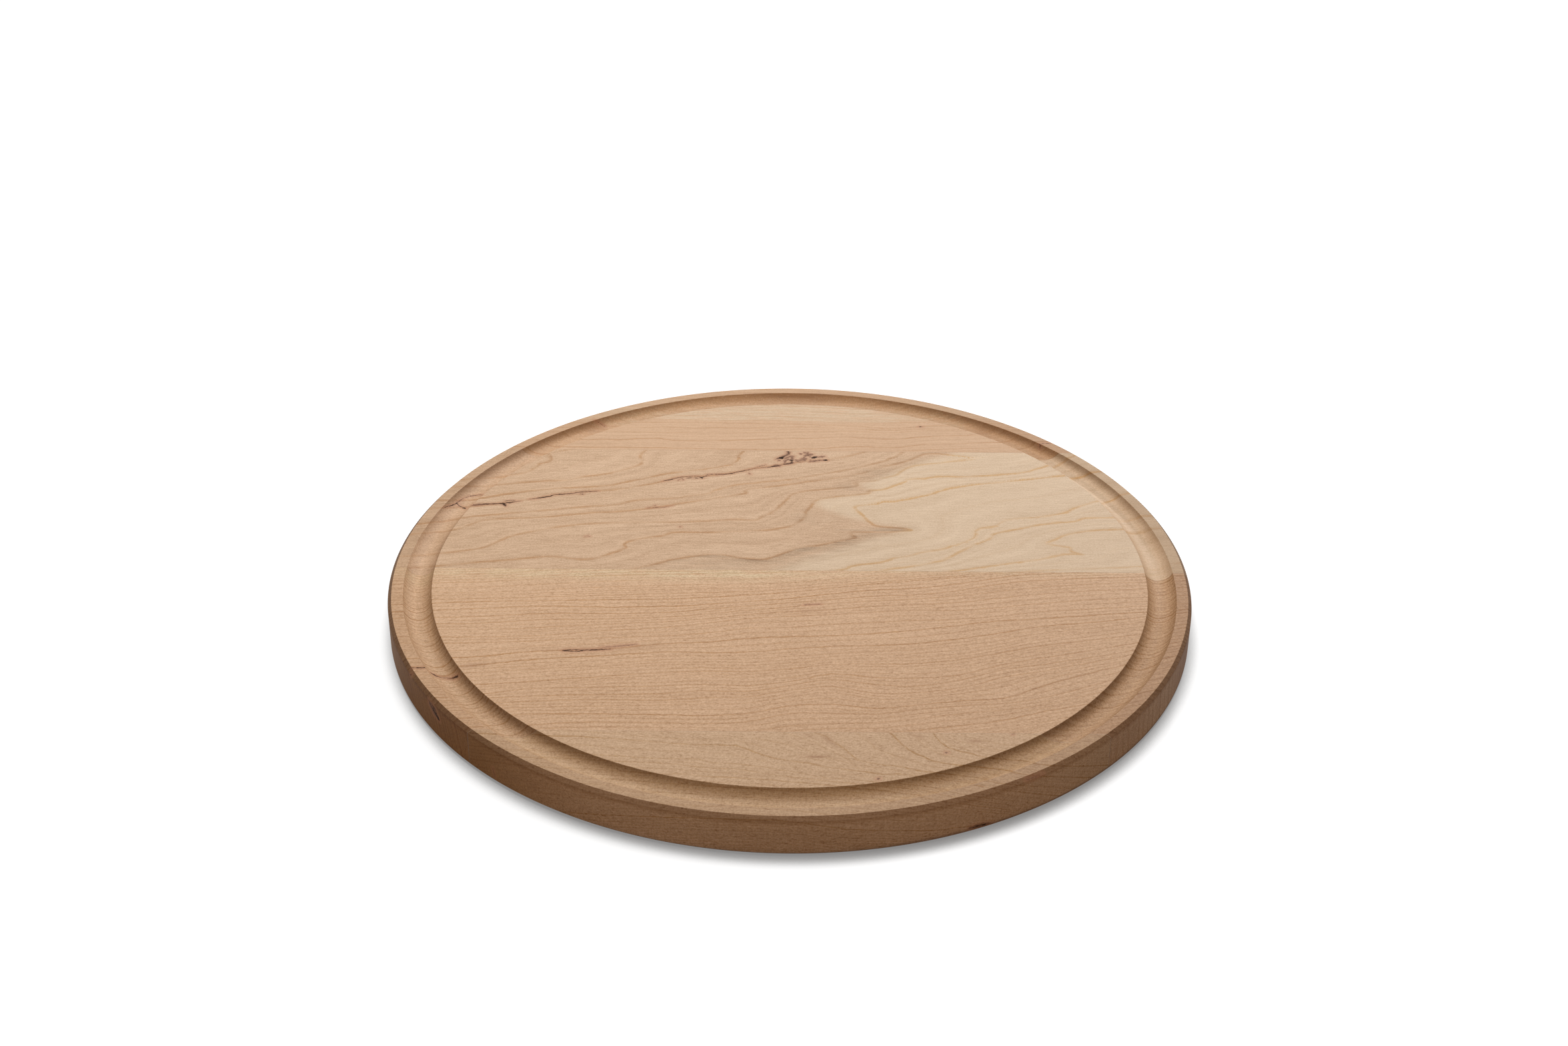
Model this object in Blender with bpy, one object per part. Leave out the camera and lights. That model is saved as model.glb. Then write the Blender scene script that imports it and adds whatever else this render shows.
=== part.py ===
"""Round cutting board, edge-glued from four staves, with a juice groove near its rim.

The panel is made as a joiner makes it. Planks are glued edge to edge with their grain along X,
and the glued panel is then turned round, chamfered at both edges and routed with one ring-shaped
groove. Here each plank, and each film of glue between two planks, is cut to the same turned
shape, so the surfaces run on across every seam.

Units are metres, +Z is up, and the origin is the centre of the underside.
"""

import math

import bmesh
import bpy

# Finished disc
BOARD_DIAMETER = 0.400
BOARD_THICKNESS = 0.0205
EDGE_CHAMFER = 0.0018

# Juice groove, cut by a round-nosed cutter, with a flat land between it and the chamfer
RIM_LAND = 0.0057
GROOVE_WIDTH = 0.014
GROOVE_DEPTH = 0.0046

# Two full-width staves meet at the board's centre line, and the outer two fill out the circle
STREAKED_STAVE_WIDTH = 0.1235
STRAIGHT_STAVE_WIDTH = 0.1375
GLUE_FILM = 0.00015

# How finely the round surfaces are faceted
TURNING_STEPS = 192
GROOVE_STEPS = 12
SMOOTH_ANGLE = math.radians(25)

# Rough planks are wider and thicker than the disc that is turned from them
SAWING_ALLOWANCE = 0.010

BOARD_RADIUS = BOARD_DIAMETER / 2
FLAT_RADIUS = BOARD_RADIUS - EDGE_CHAMFER
GROOVE_OUTER_LIP = FLAT_RADIUS - RIM_LAND
GROOVE_CENTRE_RADIUS = GROOVE_OUTER_LIP - GROOVE_WIDTH / 2

# Seam positions along Y, from the back of the board to its front
BACK_SEAM = STREAKED_STAVE_WIDTH
CENTRE_SEAM = 0.0
FRONT_SEAM = -STRAIGHT_STAVE_WIDTH
ROUGH_EDGE = BOARD_RADIUS + SAWING_ALLOWANCE

BACK_WOOD = (0.66, 0.46, 0.31)
STREAKED_WOOD = (0.62, 0.44, 0.30)
STRAIGHT_WOOD = (0.64, 0.44, 0.29)
FRONT_WOOD = (0.60, 0.42, 0.28)
GLUE_COLOUR = (0.30, 0.19, 0.11)
WOOD_ROUGHNESS = 0.62
GLUE_ROUGHNESS = 0.45


def clear_scene():
    """Remove every object that the file holds, so that a second run starts afresh."""
    for thing in list(bpy.data.objects):
        bpy.data.objects.remove(thing, do_unlink=True)


def finish(name, colour, roughness):
    """Make a plain Principled finish."""
    material = bpy.data.materials.new(name)
    material.use_nodes = True
    surface = material.node_tree.nodes["Principled BSDF"]
    surface.inputs["Base Color"].default_value = (*colour, 1.0)
    surface.inputs["Roughness"].default_value = roughness
    surface.inputs["Metallic"].default_value = 0.0
    return material


def link_object(name, mesh, parent=None):
    """Put a mesh into the scene as an object that stands at the board's origin."""
    thing = bpy.data.objects.new(name, mesh)
    thing.parent = parent
    bpy.context.scene.collection.objects.link(thing)
    return thing


def groove_profile():
    """List the groove's arc as (radius, height) points, from its outer lip to its inner lip."""
    half_width = GROOVE_WIDTH / 2
    nose_radius = (half_width ** 2 + GROOVE_DEPTH ** 2) / (2 * GROOVE_DEPTH)
    nose_height = BOARD_THICKNESS + nose_radius - GROOVE_DEPTH
    half_angle = math.atan2(half_width, nose_radius - GROOVE_DEPTH)
    points = []
    for step in range(GROOVE_STEPS + 1):
        angle = half_angle * (1 - 2 * step / GROOVE_STEPS)
        radius = GROOVE_CENTRE_RADIUS + nose_radius * math.sin(angle)
        points.append((radius, nose_height - nose_radius * math.cos(angle)))
    return points


def turned_profile():
    """List the disc's half section, from its underside round the edge to the cutting face."""
    side = [
        (FLAT_RADIUS, 0.0),
        (BOARD_RADIUS, EDGE_CHAMFER),
        (BOARD_RADIUS, BOARD_THICKNESS - EDGE_CHAMFER),
        (FLAT_RADIUS, BOARD_THICKNESS),
    ]
    return side + groove_profile()


def turned_blank():
    """Turn the finished disc as one guide solid, which each piece is then cut to."""
    shape = bmesh.new()
    verts = [shape.verts.new((radius, 0.0, height)) for radius, height in turned_profile()]
    edges = [shape.edges.new(pair) for pair in zip(verts, verts[1:])]
    bmesh.ops.spin(
        shape,
        geom=verts + edges,
        cent=(0.0, 0.0, 0.0),
        axis=(0.0, 0.0, 1.0),
        angle=2 * math.pi,
        steps=TURNING_STEPS,
        use_merge=True,
    )
    open_edges = [edge for edge in shape.edges if edge.is_boundary]
    bmesh.ops.holes_fill(shape, edges=open_edges, sides=0)
    bmesh.ops.recalc_face_normals(shape, faces=shape.faces)
    mesh = bpy.data.meshes.new("turned_blank")
    shape.to_mesh(mesh)
    shape.free()
    mesh.shade_smooth()
    mesh.set_sharp_from_angle(angle=SMOOTH_ANGLE)
    blank = link_object("turned_blank", mesh)
    blank.hide_render = True
    blank.display_type = "WIRE"
    return blank


def plank_mesh(name, front, back):
    """Saw a rough plank that runs along X, between two flat edges on given Y planes."""
    low = -SAWING_ALLOWANCE
    high = BOARD_THICKNESS + SAWING_ALLOWANCE
    shape = bmesh.new()
    end = [
        shape.verts.new((-ROUGH_EDGE, y, z))
        for y, z in ((front, low), (back, low), (back, high), (front, high))
    ]
    face = shape.faces.new(end)
    grown = bmesh.ops.extrude_face_region(shape, geom=[face])
    far_end = [item for item in grown["geom"] if isinstance(item, bmesh.types.BMVert)]
    bmesh.ops.translate(shape, verts=far_end, vec=(2 * ROUGH_EDGE, 0.0, 0.0))
    bmesh.ops.recalc_face_normals(shape, faces=shape.faces)
    mesh = bpy.data.meshes.new(name)
    shape.to_mesh(mesh)
    shape.free()
    return mesh


def turned_piece(name, front, back, material, blank, board):
    """Cut one plank, or one film of glue, to the turned shape of the board."""
    mesh = plank_mesh(name, front, back)
    mesh.materials.append(material)
    piece = link_object(name, mesh, parent=board)
    turning = piece.modifiers.new("turned round and grooved", "BOOLEAN")
    turning.operation = "INTERSECT"
    turning.solver = "EXACT"
    turning.object = blank
    return piece


def build_staves(blank, board):
    """Cut the four staves, from the back of the board to its front."""
    half_film = GLUE_FILM / 2
    turned_piece(
        "back_stave", BACK_SEAM + half_film, ROUGH_EDGE,
        finish("back stave wood", BACK_WOOD, WOOD_ROUGHNESS), blank, board,
    )
    turned_piece(
        "streaked_stave", CENTRE_SEAM + half_film, BACK_SEAM - half_film,
        finish("streaked stave wood", STREAKED_WOOD, WOOD_ROUGHNESS), blank, board,
    )
    turned_piece(
        "straight_grain_stave", FRONT_SEAM + half_film, CENTRE_SEAM - half_film,
        finish("straight-grain stave wood", STRAIGHT_WOOD, WOOD_ROUGHNESS), blank, board,
    )
    turned_piece(
        "front_stave", -ROUGH_EDGE, FRONT_SEAM - half_film,
        finish("front stave wood", FRONT_WOOD, WOOD_ROUGHNESS), blank, board,
    )


def build_glue_films(blank, board):
    """Cut the film of glue that fills each seam, flush with the wood on every side."""
    seams = {
        "back_glue_film": BACK_SEAM,
        "centre_glue_film": CENTRE_SEAM,
        "front_glue_film": FRONT_SEAM,
    }
    half_film = GLUE_FILM / 2
    for name, seam in seams.items():
        glue = finish(name.replace("_", " "), GLUE_COLOUR, GLUE_ROUGHNESS)
        turned_piece(name, seam - half_film, seam + half_film, glue, blank, board)


def build_board():
    """Build the whole board on one empty that stands at the centre of its underside."""
    board = link_object("round_cutting_board", None)
    blank = turned_blank()
    build_staves(blank, board)
    build_glue_films(blank, board)


clear_scene()
build_board()
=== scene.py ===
"""Round cutting board of four edge-glued staves with a juice groove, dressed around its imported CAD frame.

Sizes inside the classes are millimetres, as on a maker's drawing, and turn into metres where a mesh
or a lamp needs them. The origin is the centre of the underside and the cutting face looks up.
"""

from __future__ import annotations

import logging
import math
from dataclasses import dataclass, field
from enum import Enum
from typing import Any, Iterable, Sequence, Union

import bmesh
import bpy
import numpy as np
from mathutils import Matrix, Vector

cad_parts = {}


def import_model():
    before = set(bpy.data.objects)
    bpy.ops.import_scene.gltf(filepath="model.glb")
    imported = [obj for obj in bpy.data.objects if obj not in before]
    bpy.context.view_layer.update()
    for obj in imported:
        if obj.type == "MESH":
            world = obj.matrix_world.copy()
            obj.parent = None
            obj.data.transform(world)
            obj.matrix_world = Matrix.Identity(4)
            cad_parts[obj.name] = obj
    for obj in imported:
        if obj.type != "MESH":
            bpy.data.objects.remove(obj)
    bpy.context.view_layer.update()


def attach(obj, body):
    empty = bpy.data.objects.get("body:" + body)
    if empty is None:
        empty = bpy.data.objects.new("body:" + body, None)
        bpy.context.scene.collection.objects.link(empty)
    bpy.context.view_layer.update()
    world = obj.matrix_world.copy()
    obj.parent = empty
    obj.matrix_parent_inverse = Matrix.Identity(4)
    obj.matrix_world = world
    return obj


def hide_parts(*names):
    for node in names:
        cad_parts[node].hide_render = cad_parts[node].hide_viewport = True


LOG = logging.getLogger("cutting_board")
MM = 0.001
FAR_OFF = -99.0
NO_GUM = -9.0
Point = tuple[float, float]
Colour = tuple[float, float, float]
Socket = bpy.types.NodeSocket
Number = Union[Socket, float]
Shade = Union[Socket, Colour]


# The board's lengths and its turned shape


@dataclass(frozen=True)
class BoardSizes:
    """The turned board's lengths, the same as in its CAD source."""

    diameter: float = 400.0
    thickness: float = 20.5
    chamfer: float = 1.8
    rim_land: float = 5.7
    groove_width: float = 14.0
    groove_depth: float = 4.6
    streaked_width: float = 123.5
    straight_width: float = 137.5
    glue_film: float = 0.15

    @property
    def radius(self) -> float:
        """Radius of the outside."""
        return self.diameter / 2.0

    @property
    def flat_radius(self) -> float:
        """Radius where the cutting face meets its chamfer."""
        return self.radius - self.chamfer

    @property
    def outer_lip(self) -> float:
        """Radius of the groove's outer lip."""
        return self.flat_radius - self.rim_land

    @property
    def groove_centre(self) -> float:
        """Radius of the groove's lowest line."""
        return self.outer_lip - self.groove_width / 2.0

    @property
    def nose_radius(self) -> float:
        """Radius of the round-nosed cut that leaves the groove."""
        half = self.groove_width / 2.0
        return (half**2 + self.groove_depth**2) / (2.0 * self.groove_depth)

    @property
    def back_seam(self) -> float:
        """Y of the seam between the back and the streaked stave."""
        return self.streaked_width

    @property
    def front_seam(self) -> float:
        """Y of the seam between the straight-grain and the front stave."""
        return -self.straight_width


@dataclass(frozen=True)
class Corner:
    """One corner of the turned outline and how far sanding has eased it."""

    r: float
    z: float
    ease: float = 0.0


@dataclass
class TurnedShape:
    """The whole board as the lathe leaves it, before the seams divide it into staves."""

    sizes: BoardSizes
    segments: int = 960
    halvings: tuple[float, ...] = (120.0, 60.0, 30.0)
    face_step: float = 1.2
    underside_step: float = 3.0
    groove_steps: int = 16
    ease_steps: int = 4
    lip_ease: float = 0.38
    top_ease: float = 0.32
    side_ease: float = 0.45
    foot_ease: float = 0.6
    guard: float = 0.15
    vertices: np.ndarray = field(init=False)
    faces: list[tuple[int, ...]] = field(init=False)

    def __post_init__(self) -> None:
        """Makes the mesh data once, for every piece that is cut from it."""
        self.vertices, self.faces = self._polar_mesh()

    def _corners(self) -> list[Corner]:
        """Lists the outline from the middle of the face, out over the rim, to the middle of the underside.

        Returns:
            The corners, with the groove's arc already divided into short chords.
        """
        s = self.sizes
        centre_z = s.thickness - s.groove_depth + s.nose_radius
        half_angle = math.asin(s.groove_width / 2.0 / s.nose_radius)
        inner_lip = s.groove_centre - s.groove_width / 2.0
        corners = [Corner(0.0, s.thickness), Corner(inner_lip, s.thickness, self.lip_ease)]
        for step in range(1, self.groove_steps):
            angle = half_angle * (2.0 * step / self.groove_steps - 1.0)
            r = s.groove_centre + s.nose_radius * math.sin(angle)
            corners.append(Corner(r, centre_z - s.nose_radius * math.cos(angle)))
        corners.append(Corner(s.outer_lip, s.thickness, self.lip_ease))
        corners.append(Corner(s.flat_radius, s.thickness, self.top_ease))
        corners.append(Corner(s.radius, s.thickness - s.chamfer, self.side_ease))
        corners.append(Corner(s.radius, s.chamfer, self.side_ease))
        corners.append(Corner(s.flat_radius, 0.0, self.foot_ease))
        corners.append(Corner(0.0, 0.0))
        return corners

    def _outline(self) -> list[Point]:
        """Eases the corners and divides the long straights.

        Returns:
            The outline's points as (r, z).
        """
        corners = self._corners()
        points: list[Point] = [(corners[0].r, corners[0].z)]
        for before, here, after in zip(corners, corners[1:], corners[2:]):
            if here.ease == 0.0:
                points.append((here.r, here.z))
                continue
            at = np.array((here.r, here.z))
            way_in = at - (before.r, before.z)
            way_out = np.array((after.r, after.z)) - at
            way_in /= np.linalg.norm(way_in)
            way_out /= np.linalg.norm(way_out)
            turn = math.acos(float(np.clip(way_in @ way_out, -1.0, 1.0)))
            reach = here.ease * math.tan(turn / 2.0)
            start = at - way_in * reach
            end = at + way_out * reach
            points.append(tuple(start - way_in * self.guard))
            for step in range(self.ease_steps + 1):
                t = step / self.ease_steps
                points.append(tuple(start * (1 - t) ** 2 + at * 2 * t * (1 - t) + end * t**2))
            points.append(tuple(end + way_out * self.guard))
        points.append((corners[-1].r, corners[-1].z))
        return self._divided(points)

    def _divided(self, points: list[Point]) -> list[Point]:
        """Divides each long straight of the outline into steps that the wood's figure needs.

        Args:
            points: The eased outline.

        Returns:
            The outline with short steps all along.
        """
        divided = [points[0]]
        for (r0, z0), (r1, z1) in zip(points, points[1:]):
            under = max(z0, z1) < self.sizes.chamfer / 2.0
            longest = self.underside_step if under else self.face_step
            count = max(1, round(math.hypot(r1 - r0, z1 - z0) / longest))
            for step in range(1, count + 1):
                t = step / count
                divided.append((r0 + (r1 - r0) * t, z0 + (z1 - z0) * t))
        return divided

    def _ring_count(self, r: float, z: float) -> int:
        """Chooses how many points one ring of the mesh has.

        Args:
            r: The ring's radius.
            z: The ring's height.

        Returns:
            The number of points, halved towards the centre and on the underside.
        """
        if r == 0.0:
            return 1
        count = self.segments
        for radius in self.halvings:
            if r <= radius:
                count //= 2
        if z == 0.0 and r < self.sizes.flat_radius - self.underside_step:
            count //= 2
        return count

    def _polar_mesh(self) -> tuple[np.ndarray, list[tuple[int, ...]]]:
        """Turns the outline about the board's axis.

        Returns:
            The vertices in millimetres and the faces.
        """
        rings = [(r, z, self._ring_count(r, z)) for r, z in self._outline()]
        starts = np.cumsum([0] + [count for _, _, count in rings])
        rows = []
        for r, z, count in rings:
            angle = np.arange(count) * (2.0 * math.pi / count)
            rows.append(np.stack([r * np.cos(angle), r * np.sin(angle), np.full(count, z)], axis=1))
        faces: list[tuple[int, ...]] = []
        for i in range(len(rings) - 1):
            a, b = int(starts[i]), int(starts[i + 1])
            n, m = rings[i][2], rings[i + 1][2]
            cells = max(n, m) if min(n, m) == 1 else min(n, m)
            for j in range(cells):
                faces.append(self._cell(a, b, n, m, j))
        return np.concatenate(rows), faces

    @staticmethod
    def _cell(a: int, b: int, n: int, m: int, j: int) -> tuple[int, ...]:
        """Lists one face between two neighbouring rings.

        Args:
            a: The first vertex of the ring nearer the start of the outline.
            b: The first vertex of the next ring.
            n: The number of points of the first ring.
            m: The number of points of the next ring.
            j: The face's place round the rings.

        Returns:
            The face's vertices, counter-clockwise from outside.
        """
        if n == 1:
            return a, b + j, b + (j + 1) % m
        if m == 1:
            return a + j, b, a + (j + 1) % n
        if m == 2 * n:
            return a + j, b + 2 * j, b + 2 * j + 1, b + (2 * j + 2) % m, a + (j + 1) % n
        if n == 2 * m:
            return a + 2 * j, b + j, b + (j + 1) % m, a + (2 * j + 2) % n, a + 2 * j + 1
        return a + j, b + j, b + (j + 1) % m, a + (j + 1) % n

    def slice(self, name: str, front: float, back: float) -> bpy.types.Object:
        """Saws out the part between two upright planes and closes its sawn faces.

        Args:
            name: The new object's name.
            front: Y of the front plane, or beyond the board for none.
            back: Y of the back plane, or beyond the board for none.

        Returns:
            The new object, in metres.
        """
        y = self.vertices[:, 1]
        kept = [f for f in self.faces if y[list(f)].max() > front and y[list(f)].min() < back]
        used = np.unique(np.fromiter((v for f in kept for v in f), dtype=np.int64))
        place = np.zeros(len(self.vertices), dtype=np.int64)
        place[used] = np.arange(len(used))
        mesh = bpy.data.meshes.new(name)
        points = (self.vertices[used] * MM).tolist()
        mesh.from_pydata(points, [], [tuple(int(place[v]) for v in f) for f in kept])
        bm = bmesh.new()
        bm.from_mesh(mesh)
        for face in bm.faces:
            face.smooth = True
        for plane, outward in ((front, -1.0), (back, 1.0)):
            if abs(plane) < self.sizes.radius:
                self._saw(bm, plane * MM, outward)
        bm.normal_update()
        bm.to_mesh(mesh)
        bm.free()
        piece = bpy.data.objects.new(name, mesh)
        bpy.context.scene.collection.objects.link(piece)
        return piece

    @staticmethod
    def _saw(bm: bmesh.types.BMesh, plane: float, outward: float) -> None:
        """Cuts away everything beyond one plane and closes the cut with one flat face.

        Args:
            bm: The mesh to cut, in metres.
            plane: Y of the cut, in metres.
            outward: 1 where the waste lies behind the plane, -1 where it lies in front.
        """
        cut = bmesh.ops.bisect_plane(
            bm,
            geom=bm.verts[:] + bm.edges[:] + bm.faces[:],
            dist=1e-8,
            plane_co=(0.0, plane, 0.0),
            plane_no=(0.0, outward, 0.0),
            clear_outer=True,
        )
        for item in cut["geom_cut"]:
            if isinstance(item, bmesh.types.BMVert):
                item.co.y = plane
        edges = [e for e in bm.edges if e.is_boundary and all(v.co.y == plane for v in e.verts)]
        caps = bmesh.ops.holes_fill(bm, edges=edges, sides=0)["faces"]
        for edge in edges:
            edge.smooth = False
        for cap in caps:
            cap.smooth = False
            if cap.normal.y * outward < 0.0:
                cap.normal_flip()
        bmesh.ops.triangulate(bm, faces=caps)


# Growth rings, gum, stains and painted shade


@dataclass(frozen=True)
class RingLine:
    """One growth-ring line as it runs over the cutting face, from left to right."""

    strength: float
    points: tuple[Point, ...]

    def curve(self, steps: int = 3, reach: float = 120.0) -> np.ndarray:
        """Rounds the line's corners and runs both its ends straight on.

        Args:
            steps: Chords between two of the line's points.
            reach: How far each end runs on.

        Returns:
            The points of the smooth line.
        """
        p = np.array(self.points, dtype=float)
        head = p[0] - (p[1] - p[0]) / np.linalg.norm(p[1] - p[0]) * reach
        tail = p[-1] + (p[-1] - p[-2]) / np.linalg.norm(p[-1] - p[-2]) * reach
        ends = np.concatenate([[2 * p[0] - p[1]], p, [2 * p[-1] - p[-2]]])
        t = (np.arange(steps) / steps)[:, None]
        rows = [head[None]]
        for a, b, c, d in zip(ends, ends[1:], ends[2:], ends[3:]):
            square = 2 * a - 5 * b + 4 * c - d
            cube = 3 * b - a - 3 * c + d
            rows.append(0.5 * (2 * b + (c - a) * t + square * t**2 + cube * t**3))
        rows.append(p[-1:])
        rows.append(tail[None])
        return np.concatenate(rows)

    def flipped(self) -> RingLine:
        """Gives the same line run through from right to left."""
        return RingLine(self.strength, self.points[::-1])


def side_of(curve: np.ndarray, x: np.ndarray, y: np.ndarray) -> np.ndarray:
    """Measures the distance to a line, positive on its right-hand side.

    Args:
        curve: The line's points.
        x: X of the places asked about.
        y: Y of the places asked about.

    Returns:
        The signed distance at every place.
    """
    start = curve[:-1]
    way = curve[1:] - start
    length = np.maximum(np.hypot(way[:, 0], way[:, 1]), 1e-9)
    best = np.full(len(x), np.inf)
    signed = np.zeros(len(x))
    for (sx, sy), (wx, wy), size in zip(start, way, length):
        dx = x - sx
        dy = y - sy
        along = np.clip((dx * wx + dy * wy) / size**2, 0.0, 1.0)
        far = np.hypot(dx - along * wx, dy - along * wy)
        across = (dx * wy - dy * wx) / size
        score = far - 1e-4 * np.abs(across)
        nearer = score < best
        best[nearer] = score[nearer]
        signed[nearer] = np.where(across[nearer] < 0.0, -far[nearer], far[nearer])
    return signed


@dataclass(frozen=True)
class Figure:
    """The growth rings of one stave, read off its cutting face in order from back to front."""

    lines: tuple[RingLine, ...]
    breadth: float = 400.0
    least_gap: float = 0.6
    outer_gap: float = 4.0
    lean_left: float = 0.0
    lean_right: float = 0.0
    mark_before: float = 0.3
    mark_after: float = 0.3

    def on_face(self, x: np.ndarray, y: np.ndarray, depth: np.ndarray) -> np.ndarray:
        """Follows the rings' lean from a place inside the wood up to the cutting face.

        Args:
            x: X of the places.
            y: Y of the places.
            depth: How far each place lies below the cutting face.

        Returns:
            Y where the same ring meets the cutting face.
        """
        share = np.clip(x / self.breadth + 0.5, 0.0, 1.0)
        lean = self.lean_left + (self.lean_right - self.lean_left) * share
        return y - depth * lean

    def read(self, x: np.ndarray, y: np.ndarray) -> dict[str, np.ndarray]:
        """Counts the rings at every place of the cutting face.

        Args:
            x: X of the places.
            y: Y of the places, brought up to the face.

        Returns:
            The ring count, the local distance between lines, and the nearest line's strength.
        """
        last = len(self.lines) - 1
        sides = np.stack([side_of(line.curve(), x, y) for line in self.lines])
        order = np.arange(last + 1)[:, None]
        below = np.where(sides >= 0.0, order, -1).max(axis=0)
        low = np.clip(below, 0, last - 1)
        here = np.arange(len(x))
        beyond = sides[low, here]
        between = np.maximum(beyond - sides[low + 1, here], self.least_gap)
        before = below < 0
        after = below >= last
        ring = low + np.clip(beyond / between, 0.0, 1.0)
        ring = np.where(before, sides[0] / self.outer_gap, ring)
        ring = np.where(after, last + sides[-1] / self.outer_gap, ring)
        gap = np.where(before | after, self.outer_gap, between)
        strengths = np.array([line.strength for line in self.lines])
        nearest = np.round(ring).astype(int)
        mark = strengths[np.clip(nearest, 0, last)]
        mark = np.where(nearest < 0, self.mark_before, mark)
        mark = np.where(nearest > last, self.mark_after, mark)
        return {"ring": ring, "gap": gap, "mark": mark}


@dataclass(frozen=True)
class Places:
    """Where the points of a stave's mesh are, and where their rings meet the cutting face."""

    x: np.ndarray
    y: np.ndarray
    z: np.ndarray
    face_y: np.ndarray


class Gum(Enum):
    """How dark a gum mark is: the name of the number that carries it to the material."""

    BLACK = "gum"
    BROWN = "burn"


def inside_chords(points: Sequence[Sequence[float]], widths: Sequence[float], at: np.ndarray) -> np.ndarray:
    """Measures how far inside a thread of changing width each place lies.

    Args:
        points: The thread's points.
        widths: Half its width at each point.
        at: The places, one row each.

    Returns:
        Millimetres inside the thread's edge, negative outside it.
    """
    line = np.array(points, dtype=float)
    last = len(line) - 1
    best = np.full(len(at), FAR_OFF)
    for i in range(max(last, 1)):
        j = min(i + 1, last)
        way = line[j] - line[i]
        along = np.clip((at - line[i]) @ way / max(float(way @ way), 1e-9), 0.0, 1.0)
        far = np.linalg.norm(at - line[i] - along[:, None] * way, axis=1)
        best = np.maximum(best, widths[i] + (widths[j] - widths[i]) * along - far)
    return best


@dataclass(frozen=True)
class Strand:
    """A gum thread by its X, Y and half width on the cutting face, or a pin knot where it has one point."""

    points: tuple[tuple[float, float, float], ...]
    gum: Gum = Gum.BLACK

    def cover(self, places: Places) -> np.ndarray:
        """Measures how far inside the thread each place lies.

        Args:
            places: The places, which it meets where their rings do on the cutting face.

        Returns:
            Millimetres inside the thread's edge, negative outside it.
        """
        at = np.stack([places.x, places.face_y], axis=1)
        return inside_chords([p[:2] for p in self.points], [p[2] for p in self.points], at)


@dataclass(frozen=True)
class Scar:
    """A mark at its own place in space, by X, Y, Z and half width, for the groove, the rim and the side."""

    points: tuple[tuple[float, float, float, float], ...]
    gum: Gum = Gum.BLACK

    def cover(self, places: Places) -> np.ndarray:
        """Measures how far inside the mark each place lies.

        Args:
            places: The places.

        Returns:
            Millimetres inside the mark's edge, negative outside it.
        """
        at = np.stack([places.x, places.y, places.z], axis=1)
        return inside_chords([p[:3] for p in self.points], [p[3] for p in self.points], at)


@dataclass(frozen=True)
class Patch:
    """A soft patch of other colour on the cutting face, which a ring line can cut off at its left."""

    x: float
    y: float
    length: float
    height: float
    strength: float = 1.0
    turn: float = 0.0
    edge: RingLine | None = None
    edge_fade: float = 1.2

    def cover(self, places: Places) -> np.ndarray:
        """Fades the patch out from its middle.

        Args:
            places: The places.

        Returns:
            The patch's strength at every place.
        """
        c = math.cos(math.radians(self.turn))
        s = math.sin(math.radians(self.turn))
        dx = places.x - self.x
        dy = places.face_y - self.y
        along = (dx * c + dy * s) / self.length
        across = (dy * c - dx * s) / self.height
        cover = self.strength * np.exp(-(along**2) - across**2)
        if self.edge is None:
            return cover
        beyond = side_of(self.edge.curve(), places.x, places.face_y)
        return cover * np.clip(beyond / self.edge_fade + 0.5, 0.0, 1.0)


def strongest(marks: Iterable[Strand | Scar | Patch], places: Places, least: float) -> np.ndarray:
    """Lays several marks over each other.

    Args:
        marks: The marks, all of one kind of number.
        places: The places.
        least: What a place far from all of them gets.

    Returns:
        The strongest cover at every place.
    """
    cover = np.full(len(places.x), least)
    for mark in marks:
        cover = np.maximum(cover, mark.cover(places))
    return cover


# Finishes


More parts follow.
